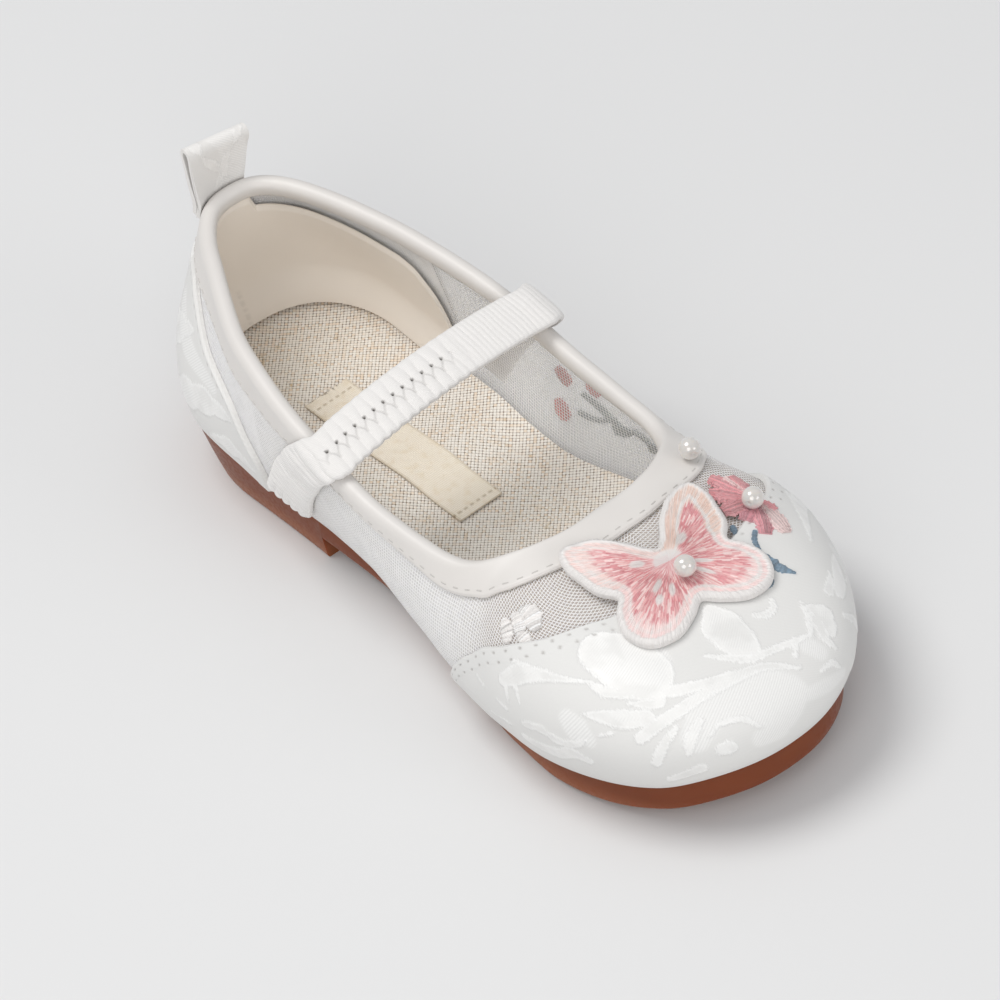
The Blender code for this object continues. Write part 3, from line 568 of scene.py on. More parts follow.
def linen_look():
    """Plain weave of uneven flax: a thread's tone runs along it, and the gaps between threads are darkened in
    patches with painted shade.
    """
    look = Look("linen", Roughness=0.9)
    u, v = look.uv()
    across, along = (u + v) / LINEN_PITCH, (v - u) / LINEN_PITCH
    column, row = look.math("FLOOR", across), look.math("FLOOR", along)
    warp, weft = (look.math("SINE", look.math("FRACT", place) * math.pi) for place in (across, along))
    height = look.math("POWER", warp, 0.6) * look.math("POWER", weft, 0.6)
    warp_tone = look.grain(column * 3.7, along * 0.09, detail=3.0)
    weft_tone = look.grain(across * 0.09, row * 3.7, detail=3.0)
    tone = look.mix(look.math("PINGPONG", column + row, 1.0), warp_tone, weft_tone)
    cream = look.mix(look.between(tone, 0.30, 0.54), (0.94, 0.80, 0.65), (1.0, 0.955, 0.885))
    slub = look.between(look.grain(u, v, 0.22, 4.0, 0.7), 0.60, 0.70)
    cream = look.mix(slub * 0.4, cream, (0.58, 0.39, 0.15))
    streak = look.between(look.grain(across * 0.12, along * 1.1), 0.66, 0.74, 0.0, 0.55)
    cream = look.mix(streak, cream, (0.62, 0.43, 0.19))
    # Low places between the threads turn dark brown, more in some patches than in others: painted shade in the
    # weave's hollows.
    gap = look.between(height, 0.18, 0.48, 1.0, 0.0)
    gap_shade_mottle = look.between(look.grain(u, v, 1.1), 0.38, 0.62, 0.42, 1.0)
    look.drive(Base_Color=look.mix(gap * gap_shade_mottle, cream, (0.20, 0.13, 0.08)), Normal=look.bump(height, 0.22, 0.7))
    return look


def rubber_look():
    look = Look("rubber", Subsurface_Weight=0.25, Subsurface_Scale=1.0, Specular_IOR_Level=0.12)
    place = look.millimetres()
    height = look.node("SeparateXYZ", {0: place}, "Z")
    colour = look.mix(look.noise(place, 0.08, 3.0), (0.165, 0.044, 0.018), (0.22, 0.062, 0.026))
    # Lighter and more orange towards the bottom of the sole: painted light glowing through the translucent rubber's
    # lower edge.
    look.drive(Base_Color=look.mix(look.between(height, 0.5, 6.5, 0.75, 0.0), colour, (0.36, 0.125, 0.055)))
    scuff = look.noise(place, 1.1, 4.0, 0.65)
    look.drive(Roughness=look.between(scuff, 0.35, 0.7, 0.3, 0.46), Normal=look.bump(scuff, 0.06, 0.2))
    look.drive(Subsurface_Radius=(0.004, 0.0012, 0.0005))
    return look


def elastic_look():
    look = Look("elastic", Roughness=0.75, Sheen_Weight=0.2)
    u, v = look.uv()
    thread, fuzz = look.ridge(v, 0.42), look.grain(u, v, 1.6, 3.0)
    colour = look.mix(thread * fuzz, (0.785, 0.765, 0.745), (0.885, 0.865, 0.845))
    # Needle holes and the sunken zigzag stitches turn dark: painted shade in them.
    look.drive(Base_Color=look.mix(look.value("hole"), colour, (0.13, 0.12, 0.11)))
    look.drive(Normal=look.bump(thread + fuzz, 0.1, 0.4))
    return look


def ribbon_look():
    look = Look("label_ribbon", Roughness=0.8)
    u, v = look.uv()
    rib = look.ridge(v, 0.4)
    stain = look.between(look.grain(u, v, 0.5, 3.0), 0.45, 0.8, 0.0, 0.6)
    colour = look.mix(rib, (0.86, 0.77, 0.63), (0.95, 0.89, 0.78))
    colour = look.mix(stain, colour, (0.80, 0.68, 0.50))
    look.drive(Base_Color=look.mix(look.value("dark"), colour, (0.35, 0.25, 0.13)))
    look.drive(Normal=look.bump(rib, 0.08, 0.6))
    return look


def embroidery_look(name):
    """Silk floss: the colour of each stitch is stored on the piece."""
    look = Look(name, Roughness=0.45, Sheen_Weight=0.25, Sheen_Roughness=0.35)
    u, v = look.uv()
    strand = look.grain(u * 9.0, v * 0.9)
    stitch = look.value("tint", "Color")
    # Streaks along the strands are lightened towards white: partly the floss's uneven strands, partly painted sheen
    # of the silk.
    look.drive(Base_Color=look.mix(look.between(strand, 0.3, 0.7, 0.0, 0.22), stitch, (0.93, 0.92, 0.91)))
    look.drive(Normal=look.bump(strand, 0.12, 0.5))
    return look


def pearl_look():
    look = Look("pearl", Roughness=0.28, Coat_Weight=1.0, Coat_Roughness=0.05, Coat_IOR=2.0, Specular_IOR_Level=0.7)
    # Darker where the pearl faces the camera and lighter towards its rim: painted reflection.
    facing = look.node("LayerWeight", {"Blend": 0.5}, "Facing")
    mist = look.between(look.noise(look.millimetres(), 0.7), 0.4, 0.7, 0.0, 0.35)
    colour = look.mix(facing, (0.60, 0.575, 0.545), (0.80, 0.775, 0.74))
    look.drive(Base_Color=look.mix(mist, colour, (0.78, 0.70, 0.64)))
    look.drive(Subsurface_Weight=0.15, Subsurface_Radius=(0.001, 0.0008, 0.0006), Subsurface_Scale=1.0)
    return look


def thread_look(name, light, dark):
    look = Look(name, Roughness=0.7, Sheen_Weight=0.2)
    ply = look.noise(look.millimetres(), 4.0)
    look.drive(Base_Color=look.mix(ply, dark, light), Normal=look.bump(ply, 0.08, 0.4))
    return look


def floor_look():
    look = Look("floor", Roughness=0.9)
    tone = look.noise(look.millimetres(), 0.004)
    look.drive(Base_Color=look.mix(tone, (0.745, 0.745, 0.745), (0.755, 0.755, 0.755)))
    return look


GAUZE, BINDING_PU, LINING = gauze_look(), binding_look(), lining_look()
LINEN, RUBBER, ELASTIC = linen_look(), rubber_look(), elastic_look()
CAP_CLOTH, COUNTER_CLOTH = damask_look("damask_cap"), damask_look("damask_counter")
LOOP_CLOTH = damask_look("brocade", warm=0.2)
RIBBON, PEARL_GLAZE = ribbon_look(), pearl_look()
FLOSS = embroidery_look("floss")
# The collar's stitches are drawn grey: partly the thread's own tone, partly painted shade around the stitches.
GREY_THREAD = thread_look("grey_thread", (0.66, 0.64, 0.61), (0.46, 0.44, 0.41))


def both_sides(medial, lateral):
    ends = (medial[[0, -1]] + lateral[[0, -1]]) / 2
    return np.concatenate([ends[:1], medial[1:-1], ends[1:], lateral[-2:0:-1]])


def cap_faces(shape, row, flip):
    """Closes a ring that runs heel, medial side, toe, lateral side, with strips across it."""
    tip = len(row) // 2
    medial, lateral = row[: tip + 1], np.concatenate([row[:1], row[:tip:-1], row[tip : tip + 1]])
    faces = []
    for i in range(tip):
        corners = list(dict.fromkeys([medial[i], medial[i + 1], lateral[i + 1], lateral[i]]))
        faces.append(corners[::-1] if flip else corners)
    shape.face(faces)


Ring = namedtuple("Ring", "share lift inset")
SOLE_RINGS = (
    Ring(0.00, 0.00, 1.10),
    Ring(0.00, 0.06, 0.72),
    Ring(0.00, 0.25, 0.40),
    Ring(0.00, 0.70, 0.20),
    Ring(0.25, 0.00, 0.06),
    Ring(0.50, 0.00, 0.00),
    Ring(0.75, 0.00, 0.02),
    Ring(1.00, -0.45, 0.08),
    Ring(1.00, -0.15, 0.20),
    Ring(1.00, 0.00, 0.50),
    Ring(1.00, -0.30, 0.75),
    Ring(1.00, -CUP_DEPTH, CUP_INSET),
)


def outsole():
    breast = HEEL_LENGTH / LENGTH
    along = 0.5 - 0.5 * np.cos(np.linspace(0, math.pi, 161))
    along = np.sort(np.concatenate([along[np.abs(along - breast) > 0.004], [breast, breast + 0.002]]))
    heel = along <= breast
    under = np.where(heel, 0.0, table(SIDE, "under", along))
    top = table(SIDE, "top", along)
    taper = HEEL_TAPER_BACK + (HEEL_TAPER_BREAST - HEEL_TAPER_BACK) * (along / breast) ** 2
    rings = []
    for ring in SOLE_RINGS:
        height = under + (top - under) * ring.share + ring.lift
        inset = ring.inset + np.where(heel, taper * (1 - height / top), 0.0)
        sides = (np.column_stack([edge(side, along, inset), height]) for side in (MEDIAL, LATERAL))
        rings.append(both_sides(*sides))
    shape = Shape()
    index = shape.grid(np.stack(rings, 1), closed=True)
    cap_faces(shape, index[:, 0], flip=True)
    cap_faces(shape, index[:, -1], flip=False)
    return shape.make("sole_rubber", RUBBER, ["outsole"], sharp=35)


UPPER_COLUMNS, UPPER_ROWS, VAMP_COLUMN, GAUZE_THICK = 400, 61, 76, 0.5
COUNTER_END, VAMP_FROM, VAMP_TO = 0.268, 0.60, 0.76
CLOSE_HEEL, CLOSE_MEDIAL, CLOSE_LATERAL, CLOSE_VAMP = 0.97, 0.80, 0.08, 0.55


def upper():
    """Gauze wall. In front of VAMP_COLUMN the threads keep their true spacing at every height."""
    turn = wrap(np.arange(UPPER_COLUMNS + 1) * 2 / UPPER_COLUMNS - 1)
    rise = np.linspace(0, 1, UPPER_ROWS)
    outer, inner = (over(turn[:, None], rise, off) for off in (0.0, -GAUZE_THICK))
    u = np.repeat(run_of(outer[:, UPPER_ROWS // 2])[:, None], UPPER_ROWS, axis=1)
    row = run_of(outer)
    near, far = VAMP_COLUMN, UPPER_COLUMNS - VAMP_COLUMN
    u[:near] = u[near] - row[near] + row[:near]
    u[far:] = u[far] - row[far] + row[far:]
    uv = np.stack([u, run_of(outer, 1)], -1)
    turn = turn[:-1, None]
    # Ramp from 0 on the sides to 1 on the vamp: there the gaps take the brown painted shade of the dark inside, and
    # their cover moves to CLOSE_VAMP.
    shade = np.broadcast_to(fade(np.abs(turn), VAMP_FROM, VAMP_TO), (UPPER_COLUMNS, UPPER_ROWS))
    close = np.where(turn < 0, CLOSE_MEDIAL, CLOSE_LATERAL)
    close = np.where(np.abs(turn) < COUNTER_END, CLOSE_HEEL, close)
    close = close + (CLOSE_VAMP - close) * shade
    shape = Shape()
    shape.shell(outer[:-1], inner[:-1], uv, closed=True, close=close, shade=shade)
    return shape.make("upper_gauze", GAUZE, ["upper"])


def bed_edge(side, count=181):
    turn = side * np.linspace(0, 1, count)
    bed, up = (smooth(np.abs(turn), BED_SHARE, SECTIONS[name]) for name in ("bed", "up"))
    high = over(turn, bed / (3 * up), -WALL - CLEAR)
    foot, normal, _ = skin_frame(turn, np.zeros(len(turn)))
    level = unit(normal * [1, 1, 0])
    return foot - level * (CUP_INSET + 1.0) - [0, 0, CUP_DEPTH], high


def bed_flat(medial, lateral, share=1.0):
    """The footbed's edge rows drawn in towards its level middle. share 1 is the flat itself."""
    middle = (medial + lateral) / 2
    rows = []
    for row in (medial, lateral):
        flat = middle + (row - middle) * (1 - (1 - INSOLE_FLAT) * share)
        centre = middle[:, 1].mean()
        flat[:, 1] = centre + (flat[:, 1] - centre) * (1 - (1 - INSOLE_SHORTER) * share)
        flat[:, 2] -= INSOLE_DISH * fade(share, -1.0, 1.0) * 2 - INSOLE_DISH
        rows.append(flat)
    return rows


def insole():
    (low_m, high_m), (low_l, high_l) = bed_edge(MEDIAL), bed_edge(LATERAL)
    rings = [both_sides(low_m, low_l)]
    rings += [both_sides(*bed_flat(high_m, high_l, share)) for share in (0.0, 0.1, 0.25, 0.45, 0.7, 1.0)]
    grid = np.stack(rings, 1)
    shape = Shape()
    index = shape.grid(grid, np.concatenate([grid, grid[:1]])[..., :2], closed=True)
    cap_faces(shape, index[:, 0], flip=True)
    cap_faces(shape, index[:, -1], flip=False)
    return shape.make("insole_linen", LINEN, ["insole"], sharp=60)


Fold = namedtuple("Fold", "along off share", defaults=[0.0])
BINDING = (
    *(Fold(a - LEG_TOP, OUTER_FACE - 0.35 * fade(a, 0.45, 0.0), 1.0) for a in (0.0, 0.08, 0.2, 0.35, 0.6, 0.9)),
    *(Fold(-LEG_TOP, OUTER_FACE, share) for share in np.linspace(0.8, 0, 7)),
    Fold(-0.3, OUTER_FACE),
    Fold(0.5, OUTER_FACE - 0.15),
    Fold(1.0, OUTER_FACE - 0.5),
    Fold(1.35, 0.1),
    Fold(BEAD_TOP, -WALL / 2),
    Fold(1.35, -WALL - 0.1),
    Fold(1.0, INNER_FACE + 0.5),
    Fold(0.5, INNER_FACE + 0.15),
    Fold(-0.3, INNER_FACE),
    Fold(-1.0, INNER_FACE),
    Fold(-1.5, INNER_FACE + 0.05),
    Fold(-BINDING_INSIDE, INNER_FACE + 0.35),
    Fold(-BINDING_INSIDE, INNER),
    Fold(0.3, INNER),
    Fold(0.3, OUTER),
    *(Fold(-LEG_TOP, OUTER, share) for share in np.linspace(0, 1, 4)),
)


def collar_binding():
    turn = wrap(np.arange(300) / 150 - 1)
    stretch = binding_depth(turn) - LEG_TOP
    grid = np.stack([past_rim(turn, fold.along - fold.share * stretch, fold.off) for fold in BINDING], 1)
    shape = Shape()
    shape.grid(grid, closed=True, ring=True, flip=True)
    return shape.make("collar_binding_pu", BINDING_PU, ["collar_binding"], sharp=50)


def capsules(shape, centres, along, normal, length, radius):
    """Short threads lying on a surface, as closed rods with rounded ends."""
    side = unit(np.cross(normal, along))
    places = np.array([-1.0, -0.96, -0.8, 0.0, 0.8, 0.96, 1.0])
    widths = np.array([0.05, 0.5, 0.95, 1.0, 0.95, 0.5, 0.05])
    angle = np.arange(8) * math.pi / 4
    for centre, a, n, s in zip(centres, along, normal, side):
        ring = np.cos(angle)[:, None] * s + 0.7 * np.sin(angle)[:, None] * n
        rows = centre + a * (places * length / 2)[:, None]
        grid = rows[None] + ring[:, None] * (widths * radius)[None, :, None]
        index = shape.grid(grid, closed=True)
        shape.face([index[::-1, 0], index[:, -1]])


def spaced(points, pitch):
    """Indices along a dense closed or open row of points, about pitch apart."""
    run = run_of(points)
    count = max(int(run[-1] / pitch), 1)
    return np.searchsorted(run, (np.arange(count) + 0.5) * run[-1] / count)


STITCH_INSET, STITCH_PITCH, STITCH_LENGTH, STITCH_RADIUS = 1.2, 2.9, 1.3, 0.15


def binding_stitches():
    turn = wrap(np.linspace(-1, 1, 2401))
    below = binding_depth(turn) - STITCH_INSET
    line = past_rim(turn, -below, OUTER_FACE)
    pick = spaced(line, STITCH_PITCH)
    along = unit(np.roll(line, -3, 0) - np.roll(line, 3, 0))[pick]
    _, normal, _ = skin_frame(turn[pick], rise_below(turn[pick], below[pick]))
    shape = Shape()
    capsules(shape, line[pick], along, normal, STITCH_LENGTH, STITCH_RADIUS)
    return shape.make("binding_stitches", GREY_THREAD)


Stroke = namedtuple("Stroke", "spine lobes hatched", defaults=[0, False])
SPINE_MM = np.array([120.0, 40.0])


def fine_spine(rows, count):
    """Turns and rises at even steps along a row of (turn, rise), with about SPINE_MM to a unit of each."""
    places = np.array(rows, float)
    places[:, 0] = np.unwrap(places[:, 0] * math.pi) / math.pi
    fine, _ = resample(np.column_stack([places * SPINE_MM, np.zeros(len(places))]), count)
    return (fine[:, :2] / SPINE_MM).T


def near_strokes(points, strokes, off):
    """Distance in mm to the woven figure's outline, less than zero inside, and the half tone of its hatched places.

    Every stroke is a spine of rows of turn, rise and half width in mm.
    """
    edge_at, half = np.full(points.shape[:-1], 2.0), np.zeros(points.shape[:-1])
    share = np.linspace(0, 1, 60)
    for stroke in strokes:
        rows = np.array(stroke.spine)
        spine = over(*fine_spine(rows[:, :2], len(share)), off)
        width = np.interp(share, np.linspace(0, 1, len(rows)), rows[:, 2])
        width = width * (1.0 + 0.42 * (np.abs(np.sin(share * math.pi * stroke.lobes)) - 0.6) * (stroke.lobes > 0))
        reach = width.max() + 2
        close = ((points > spine.min(0) - reach) & (points < spine.max(0) + reach)).all(-1)
        gap = (np.linalg.norm(points[close][:, None] - spine[None], axis=-1) - width[None]).min(1)
        if stroke.hatched:
            half[close] = np.maximum(half[close], fade(gap, 0.5, -0.5))
        else:
            edge_at[close] = np.minimum(edge_at[close], gap)
    return edge_at, half


CAP_STROKES = (
    Stroke(((-0.746, 0.468, 1.29), (-0.782, 0.524, 2.15), (-0.815, 0.55, 1.49), (-0.843, 0.558, 0.8),
            (-0.873, 0.562, 0.34))),
    Stroke(((-0.749, 0.446, 0.63), (-0.742, 0.368, 0.23))),
    Stroke(((-0.77, 0.47, 0.63), (-0.766, 0.402, 0.23))),
    Stroke(((-0.774, 0.568, 0.4), (-0.803, 0.562, 0.74), (-0.835, 0.562, 0.63))),
    Stroke(((-0.895, 0.662, 4.01), (-0.91, 0.628, 5.73), (-0.921, 0.568, 4.87))),
    Stroke(((-0.896, 0.484, 0.23), (-0.907, 0.472, 0.92), (-0.918, 0.47, 1.15))),
    Stroke(((-0.849, 0.436, 0.17), (-0.868, 0.436, 1.2), (-0.885, 0.424, 1.89), (-0.904, 0.42, 1.43))),
    Stroke(((-0.852, 0.348, 0.17), (-0.867, 0.368, 0.46))),
    Stroke(((-0.739, 0.192, 0.86), (-0.758, 0.178, 1.29), (-0.782, 0.182, 1.43), (-0.807, 0.218, 1.43),
            (-0.819, 0.194, 0.86))),
    Stroke(((-0.678, 0.388, 0.23), (-0.692, 0.356, 0.4))),
    Stroke(((-0.719, 0.346, 0.17), (-0.732, 0.324, 0.4))),
    Stroke(((-0.684, 0.208, 0.17), (-0.724, 0.234, 0.34))),
    Stroke(((-0.913, 0.546, 1.35), (-0.927, 0.504, 1.35), (-0.942, 0.496, 1.26), (-0.959, 0.488, 1.14),
            (-0.973, 0.484, 0.9))),
    Stroke(((-0.888, 0.342, 1.2), (-0.911, 0.396, 1.26), (-0.93, 0.432, 1.26), (-0.948, 0.462, 1.26),
            (-0.965, 0.47, 1.2), (-0.983, 0.468, 1.02), (-1.001, 0.44, 0.78), (-1.019, 0.37, 0.42))),
    Stroke(((-0.933, 0.288, 0.3), (-0.945, 0.326, 0.54), (-0.957, 0.316, 0.6), (-0.967, 0.242, 0.36))),
    Stroke(((-0.935, 0.206, 1.2), (-0.941, 0.202, 1.38))),
    Stroke(((-0.99, 0.684, 1.5), (-0.988, 0.632, 3.89), (-0.99, 0.576, 3.59), (-0.996, 0.526, 1.5))),
    Stroke(((-1.037, 0.602, 0.42), (-1.032, 0.58, 0.78), (-1.024, 0.584, 0.84), (-1.018, 0.608, 0.36))),
    Stroke(((-1.052, 0.524, 0.24), (-1.047, 0.47, 0.66), (-1.04, 0.426, 0.54))),
    Stroke(((-1.052, 0.448, 1.2), (-1.05, 0.37, 1.02), (-1.055, 0.304, 0.36))),
    Stroke(((-1.029, 0.462, 0.6), (-1.021, 0.414, 0.42))),
    Stroke(((-1.034, 0.292, 0.36), (-1.044, 0.282, 0.72), (-1.052, 0.23, 0.42))),
    Stroke(((-0.884, 0.214, 0.9), (-0.902, 0.302, 1.08), (-0.917, 0.362, 0.6))),
    Stroke(((-0.913, 0.236, 0.72), (-0.921, 0.302, 1.32), (-0.933, 0.362, 0.9))),
    Stroke(((-0.884, 0.094, 0.9), (-0.913, 0.128, 1.2))),
    Stroke(((-0.874, 0.562, 0.4), (-0.882, 0.534, 1.09), (-0.898, 0.522, 1.15), (-0.912, 0.514, 1.03),
            (-0.921, 0.492, 1.15)), lobes=9),
    Stroke(((-0.755, 0.292, 0.86), (-0.781, 0.304, 0.92), (-0.796, 0.272, 0.86), (-0.815, 0.276, 0.8),
            (-0.834, 0.312, 0.46)), lobes=5),
    Stroke(((-0.963, 0.578, 0.48), (-0.975, 0.542, 0.72), (-0.988, 0.504, 0.84), (-1.006, 0.49, 0.78),
            (-1.022, 0.468, 0.78), (-1.039, 0.434, 0.48)), lobes=11),
    Stroke(((-1.052, 0.504, 0.48), (-1.06, 0.438, 1.86), (-1.058, 0.364, 1.2)), lobes=3),
    Stroke(((-0.939, 0.398, 3.29), (-0.961, 0.414, 3.89), (-0.983, 0.376, 4.49),
            (-1.001, 0.322, 3.29)), hatched=True),
    Stroke(((-0.924, 0.296, 2.69), (-0.937, 0.366, 3.29)), hatched=True),
    Stroke(((-0.973, 0.314, 2.99), (-0.987, 0.26, 3.89), (-1.006, 0.296, 2.69)), hatched=True),
    Stroke(((-1.034, 0.412, 1.8), (-1.04, 0.352, 1.5)), hatched=True),
    Stroke(((-1.012, 0.26, 1.2), (-1.032, 0.22, 1.5), (-1.058, 0.178, 0.9)), hatched=True),
    Stroke(((-0.965, 0.184, 1.8), (-0.982, 0.168, 1.8)), hatched=True),
    Stroke(((-0.929, 0.678, 3.44), (-0.927, 0.6, 4.01)), hatched=True),
    Stroke(((-0.829, 0.404, 1.72), (-0.833, 0.358, 2.58), (-0.839, 0.32, 1.43)), hatched=True),
)


def mirrored(strokes, drop=0.0):
    spines = [[(-turn, rise - drop, wide) for turn, rise, wide in stroke.spine] for stroke in strokes]
    return tuple(stroke._replace(spine=spine) for stroke, spine in zip(strokes, spines))


# The far side of the cap repeats the near one.
CAP_STROKES += mirrored([stroke for stroke in CAP_STROKES if min(stroke.spine)[0] > -0.92], drop=0.02)
COUNTER_STROKES = (
    Stroke(((0.04, 0.16, 0.8), (0.08, 0.34, 3.6), (0.12, 0.50, 2.8), (0.15, 0.60, 0.6)), lobes=5),
    Stroke(((0.10, 0.08, 0.8), (0.15, 0.22, 3.0), (0.20, 0.34, 2.6), (0.23, 0.40, 0.6)), lobes=4),
    Stroke(((0.02, 0.62, 0.6), (0.05, 0.74, 2.6), (0.09, 0.78, 0.5)), lobes=3),
    Stroke(((0.18, 0.06, 0.5), (0.22, 0.13, 2.0), (0.25, 0.12, 0.5)), lobes=3),
    Stroke(((0.01, 0.36, 0.5), (0.03, 0.48, 2.2), (0.02, 0.58, 0.5)), lobes=2),
    Stroke(((0.10, 0.62, 1.6), (0.14, 0.48, 2.4), (0.20, 0.46, 1.2)), hatched=True),
)
COUNTER_STROKES += mirrored(COUNTER_STROKES)


Row = namedtuple("Row", "inset pitch start")
OVERLAY_BACK_ROWS, EDGE_LIFT = 14, 0.05


def overlay(node, rows, shares, count, look, strokes, stitch_rows):
    """A damask patch from the feather line to its folded free edge, with its figure and rows of stitch holes."""
    shares = np.asarray(shares)
    free = table(rows, "rise", np.abs(wrap(shares)))
    free = np.minimum(free, rise_below(shares, binding_depth(shares) + CLEAR + 0.3))
    rises = np.linspace(0.01, 1, count)[None] * free[:, None]
    base = over(shares[:, None], rises, CAP_FACE)
    v = run_of(base, 1)
    u = np.broadcast_to(run_of(base[:, count // 2])[:, None], v.shape)
    below = np.minimum(v[:, -1:] - v, np.minimum(run_of(base[:, 1]), run_of(base[::-1, 1])[::-1])[:, None])
    edge_at, half = near_strokes(base, strokes, CAP_FACE)
    # hole marks the stitch holes: the cloth sinks there, and the look paints shade into them.
    hole = np.zeros(below.shape)
    top_run = run_of(base[:, -1])[:, None]
    for row in stitch_rows:
        dash = np.abs((top_run / row.pitch + row.start) % 1 - 0.5) * row.pitch
        hole = np.maximum(hole, 0.8 * fade(np.hypot(dash / 1.5, below - row.inset), 0.34, 0.12))
    hole = hole * (v > 2.0)
    relief = 0.08 * fade(edge_at, 0.3, -0.3) - 0.25 * hole
    relief = relief + 0.07 * fade(below, 3.6, 3.0) - 0.5 * fade(below, 0.45, 0.0)
    outer = over(shares[:, None], rises, CAP_FACE + relief)
    inner_rises = np.linspace(0.01, 1, OVERLAY_BACK_ROWS)[None] * free[:, None]
    shape = Shape()
    lift = np.full(inner_rises.shape, CAP_GAP)
    lift[:, -1] = lift[0] = lift[-1] = EDGE_LIFT
    inner = over(shares[:, None], inner_rises, lift)
    shape.shell(outer, inner, np.stack([u, v], -1), edge=edge_at, half=half, hole=hole)
    return shape.make(node + "_damask", look, [node])


def toe_cap():
    shares = np.concatenate([[0.600, 0.602, 0.604], np.linspace(0.607, 1.393, 391), [1.396, 1.398, 1.400]])
    rows = (Row(1.2, 3.2, 0.0), Row(3.0, 3.2, 0.35))
    return overlay("toe_cap", TOE_CAP, shares, 140, CAP_CLOTH, CAP_STROKES, rows)


def heel_counter():
    shares = np.concatenate([[-0.264, -0.263, -0.2615], np.linspace(-0.26, 0.26, 261), [0.2615, 0.263, 0.264]])
    rows = (Row(1.2, 2.4, 0.0),)
    return overlay("heel_counter", COUNTER, shares, 120, COUNTER_CLOTH, COUNTER_STROKES, rows)


LINING_EDGE = {
    "along": (0.000, 0.036, 0.046, 0.124, 0.200, 0.232, 0.245, 0.258, 0.266, 0.274),
    "top": (0.955, 0.950, 0.855, 0.838, 0.810, 0.786, 0.740, 0.565, 0.350, 0.200),
}


HEEL_TURN_MM, HEEL_RISE_MM, SEAM_TURN = 190, 38, 0.004


def heel_lining():
    """Smooth lining inside the heel, thicker where it turns under the footbed's edge."""
    half = np.concatenate([np.linspace(0, 0.24, 90), np.linspace(0.243, 0.274, 24)])
    turn = np.concatenate([-half[:0:-1], half])
    top = np.interp(np.abs(turn), LINING_EDGE["along"], LINING_EDGE["top"])
    top = np.minimum(top, rise_below(turn, BINDING_INSIDE - 0.4))
    share = np.linspace(0, 1, 60)
    rise = 0.02 + share[None] * (top[:, None] - 0.02)
    foot = 1.9 * fade(rise, 0.28, 0.02)
    from_end = HEEL_TURN_MM * (half[-1] - np.abs(turn))[:, None]
    from_edge = np.minimum(HEEL_RISE_MM * (top[:, None] - rise), from_end)
    face = over(turn[:, None], rise, -WALL - 0.85 + 0.6 * fade(from_edge, 1.8, 0.0) - foot)
    back = over(turn[:, None], rise[:, ::5], -WALL - 0.1)
    below = np.linalg.norm(face - face[:, -1:], axis=-1)
    below = np.minimum(below, np.minimum(run_of(face[:, 30]), run_of(face[::-1, 30])[::-1])[:, None])
    dark = 0.25 * fade(below, 0.3, 0.1)
    seam = np.abs(turn - SEAM_TURN)[:, None] * HEEL_TURN_MM
    dash = np.abs(run_of(face, 1) / 1.4 % 1 - 0.5)
    dark = np.maximum(dark, 0.5 * fade(seam, 0.34, 0.05) * fade(dash, 0.36, 0.28) * (rise < 0.24))
    shape = Shape()
    shape.shell(face[:, ::-1], back[:, ::-1], dark=dark[:, ::-1])
    return shape.make("heel_lining", LINING)


def strap_side(side, across):
    places = STRAP["along"]

    def turn_of(along):
        middle, half = (np.interp(along, places, STRAP[name]) for name in ("middle", "half"))
        if side == LATERAL:
            middle, half = middle + STRAP_FAR_SHIFT * along, half * STRAP_FAR_HALF
        return np.array([turn_at(side, middle - across * half, min(along, 1.0))])

    points = []
    slack = STRAP_FAR_SLACK if side == LATERAL else 0.0
    bend = BEND + slack
    for rise in np.linspace(STRAP["along"][0], 0.97, 9):
        turn = turn_of(rise)
        lifted = np.clip((rise - rise_below(turn, binding_depth(turn) + 1.5)) / 0.12 + 1, 0, 1)
        off = CLEAR + 0.15 + (BINDING_CLOTH + 0.15) * lifted + slack * np.clip((rise - 0.55) / 0.4, 0, 1)
        points.append(over(turn, np.array([rise]), off)[0])
    for degrees in (20, 45, 70):
        turn, angle = turn_of(1 + 0.1 * degrees / 70), math.radians(degrees)
        points.append(past_rim(turn, bend * math.sin(angle), bend * math.cos(angle) - WALL / 2)[0])
    return np.array(points)


STRAP_LONG, STRAP_WIDE, STRAP_WIDER = 760, 57, 0.6
PLEAT = 2.36
HOLE_ROW, ZIGZAG_END = -0.18, 0.30
SMOCKED = (34.5, 62.0)
FINE_RIB = 1.05


def pleat(x):
    """Rounded ridges with narrow valleys, one to a unit of x, 0 to 1."""
    return np.abs(np.cos(math.pi * x)) ** 0.75


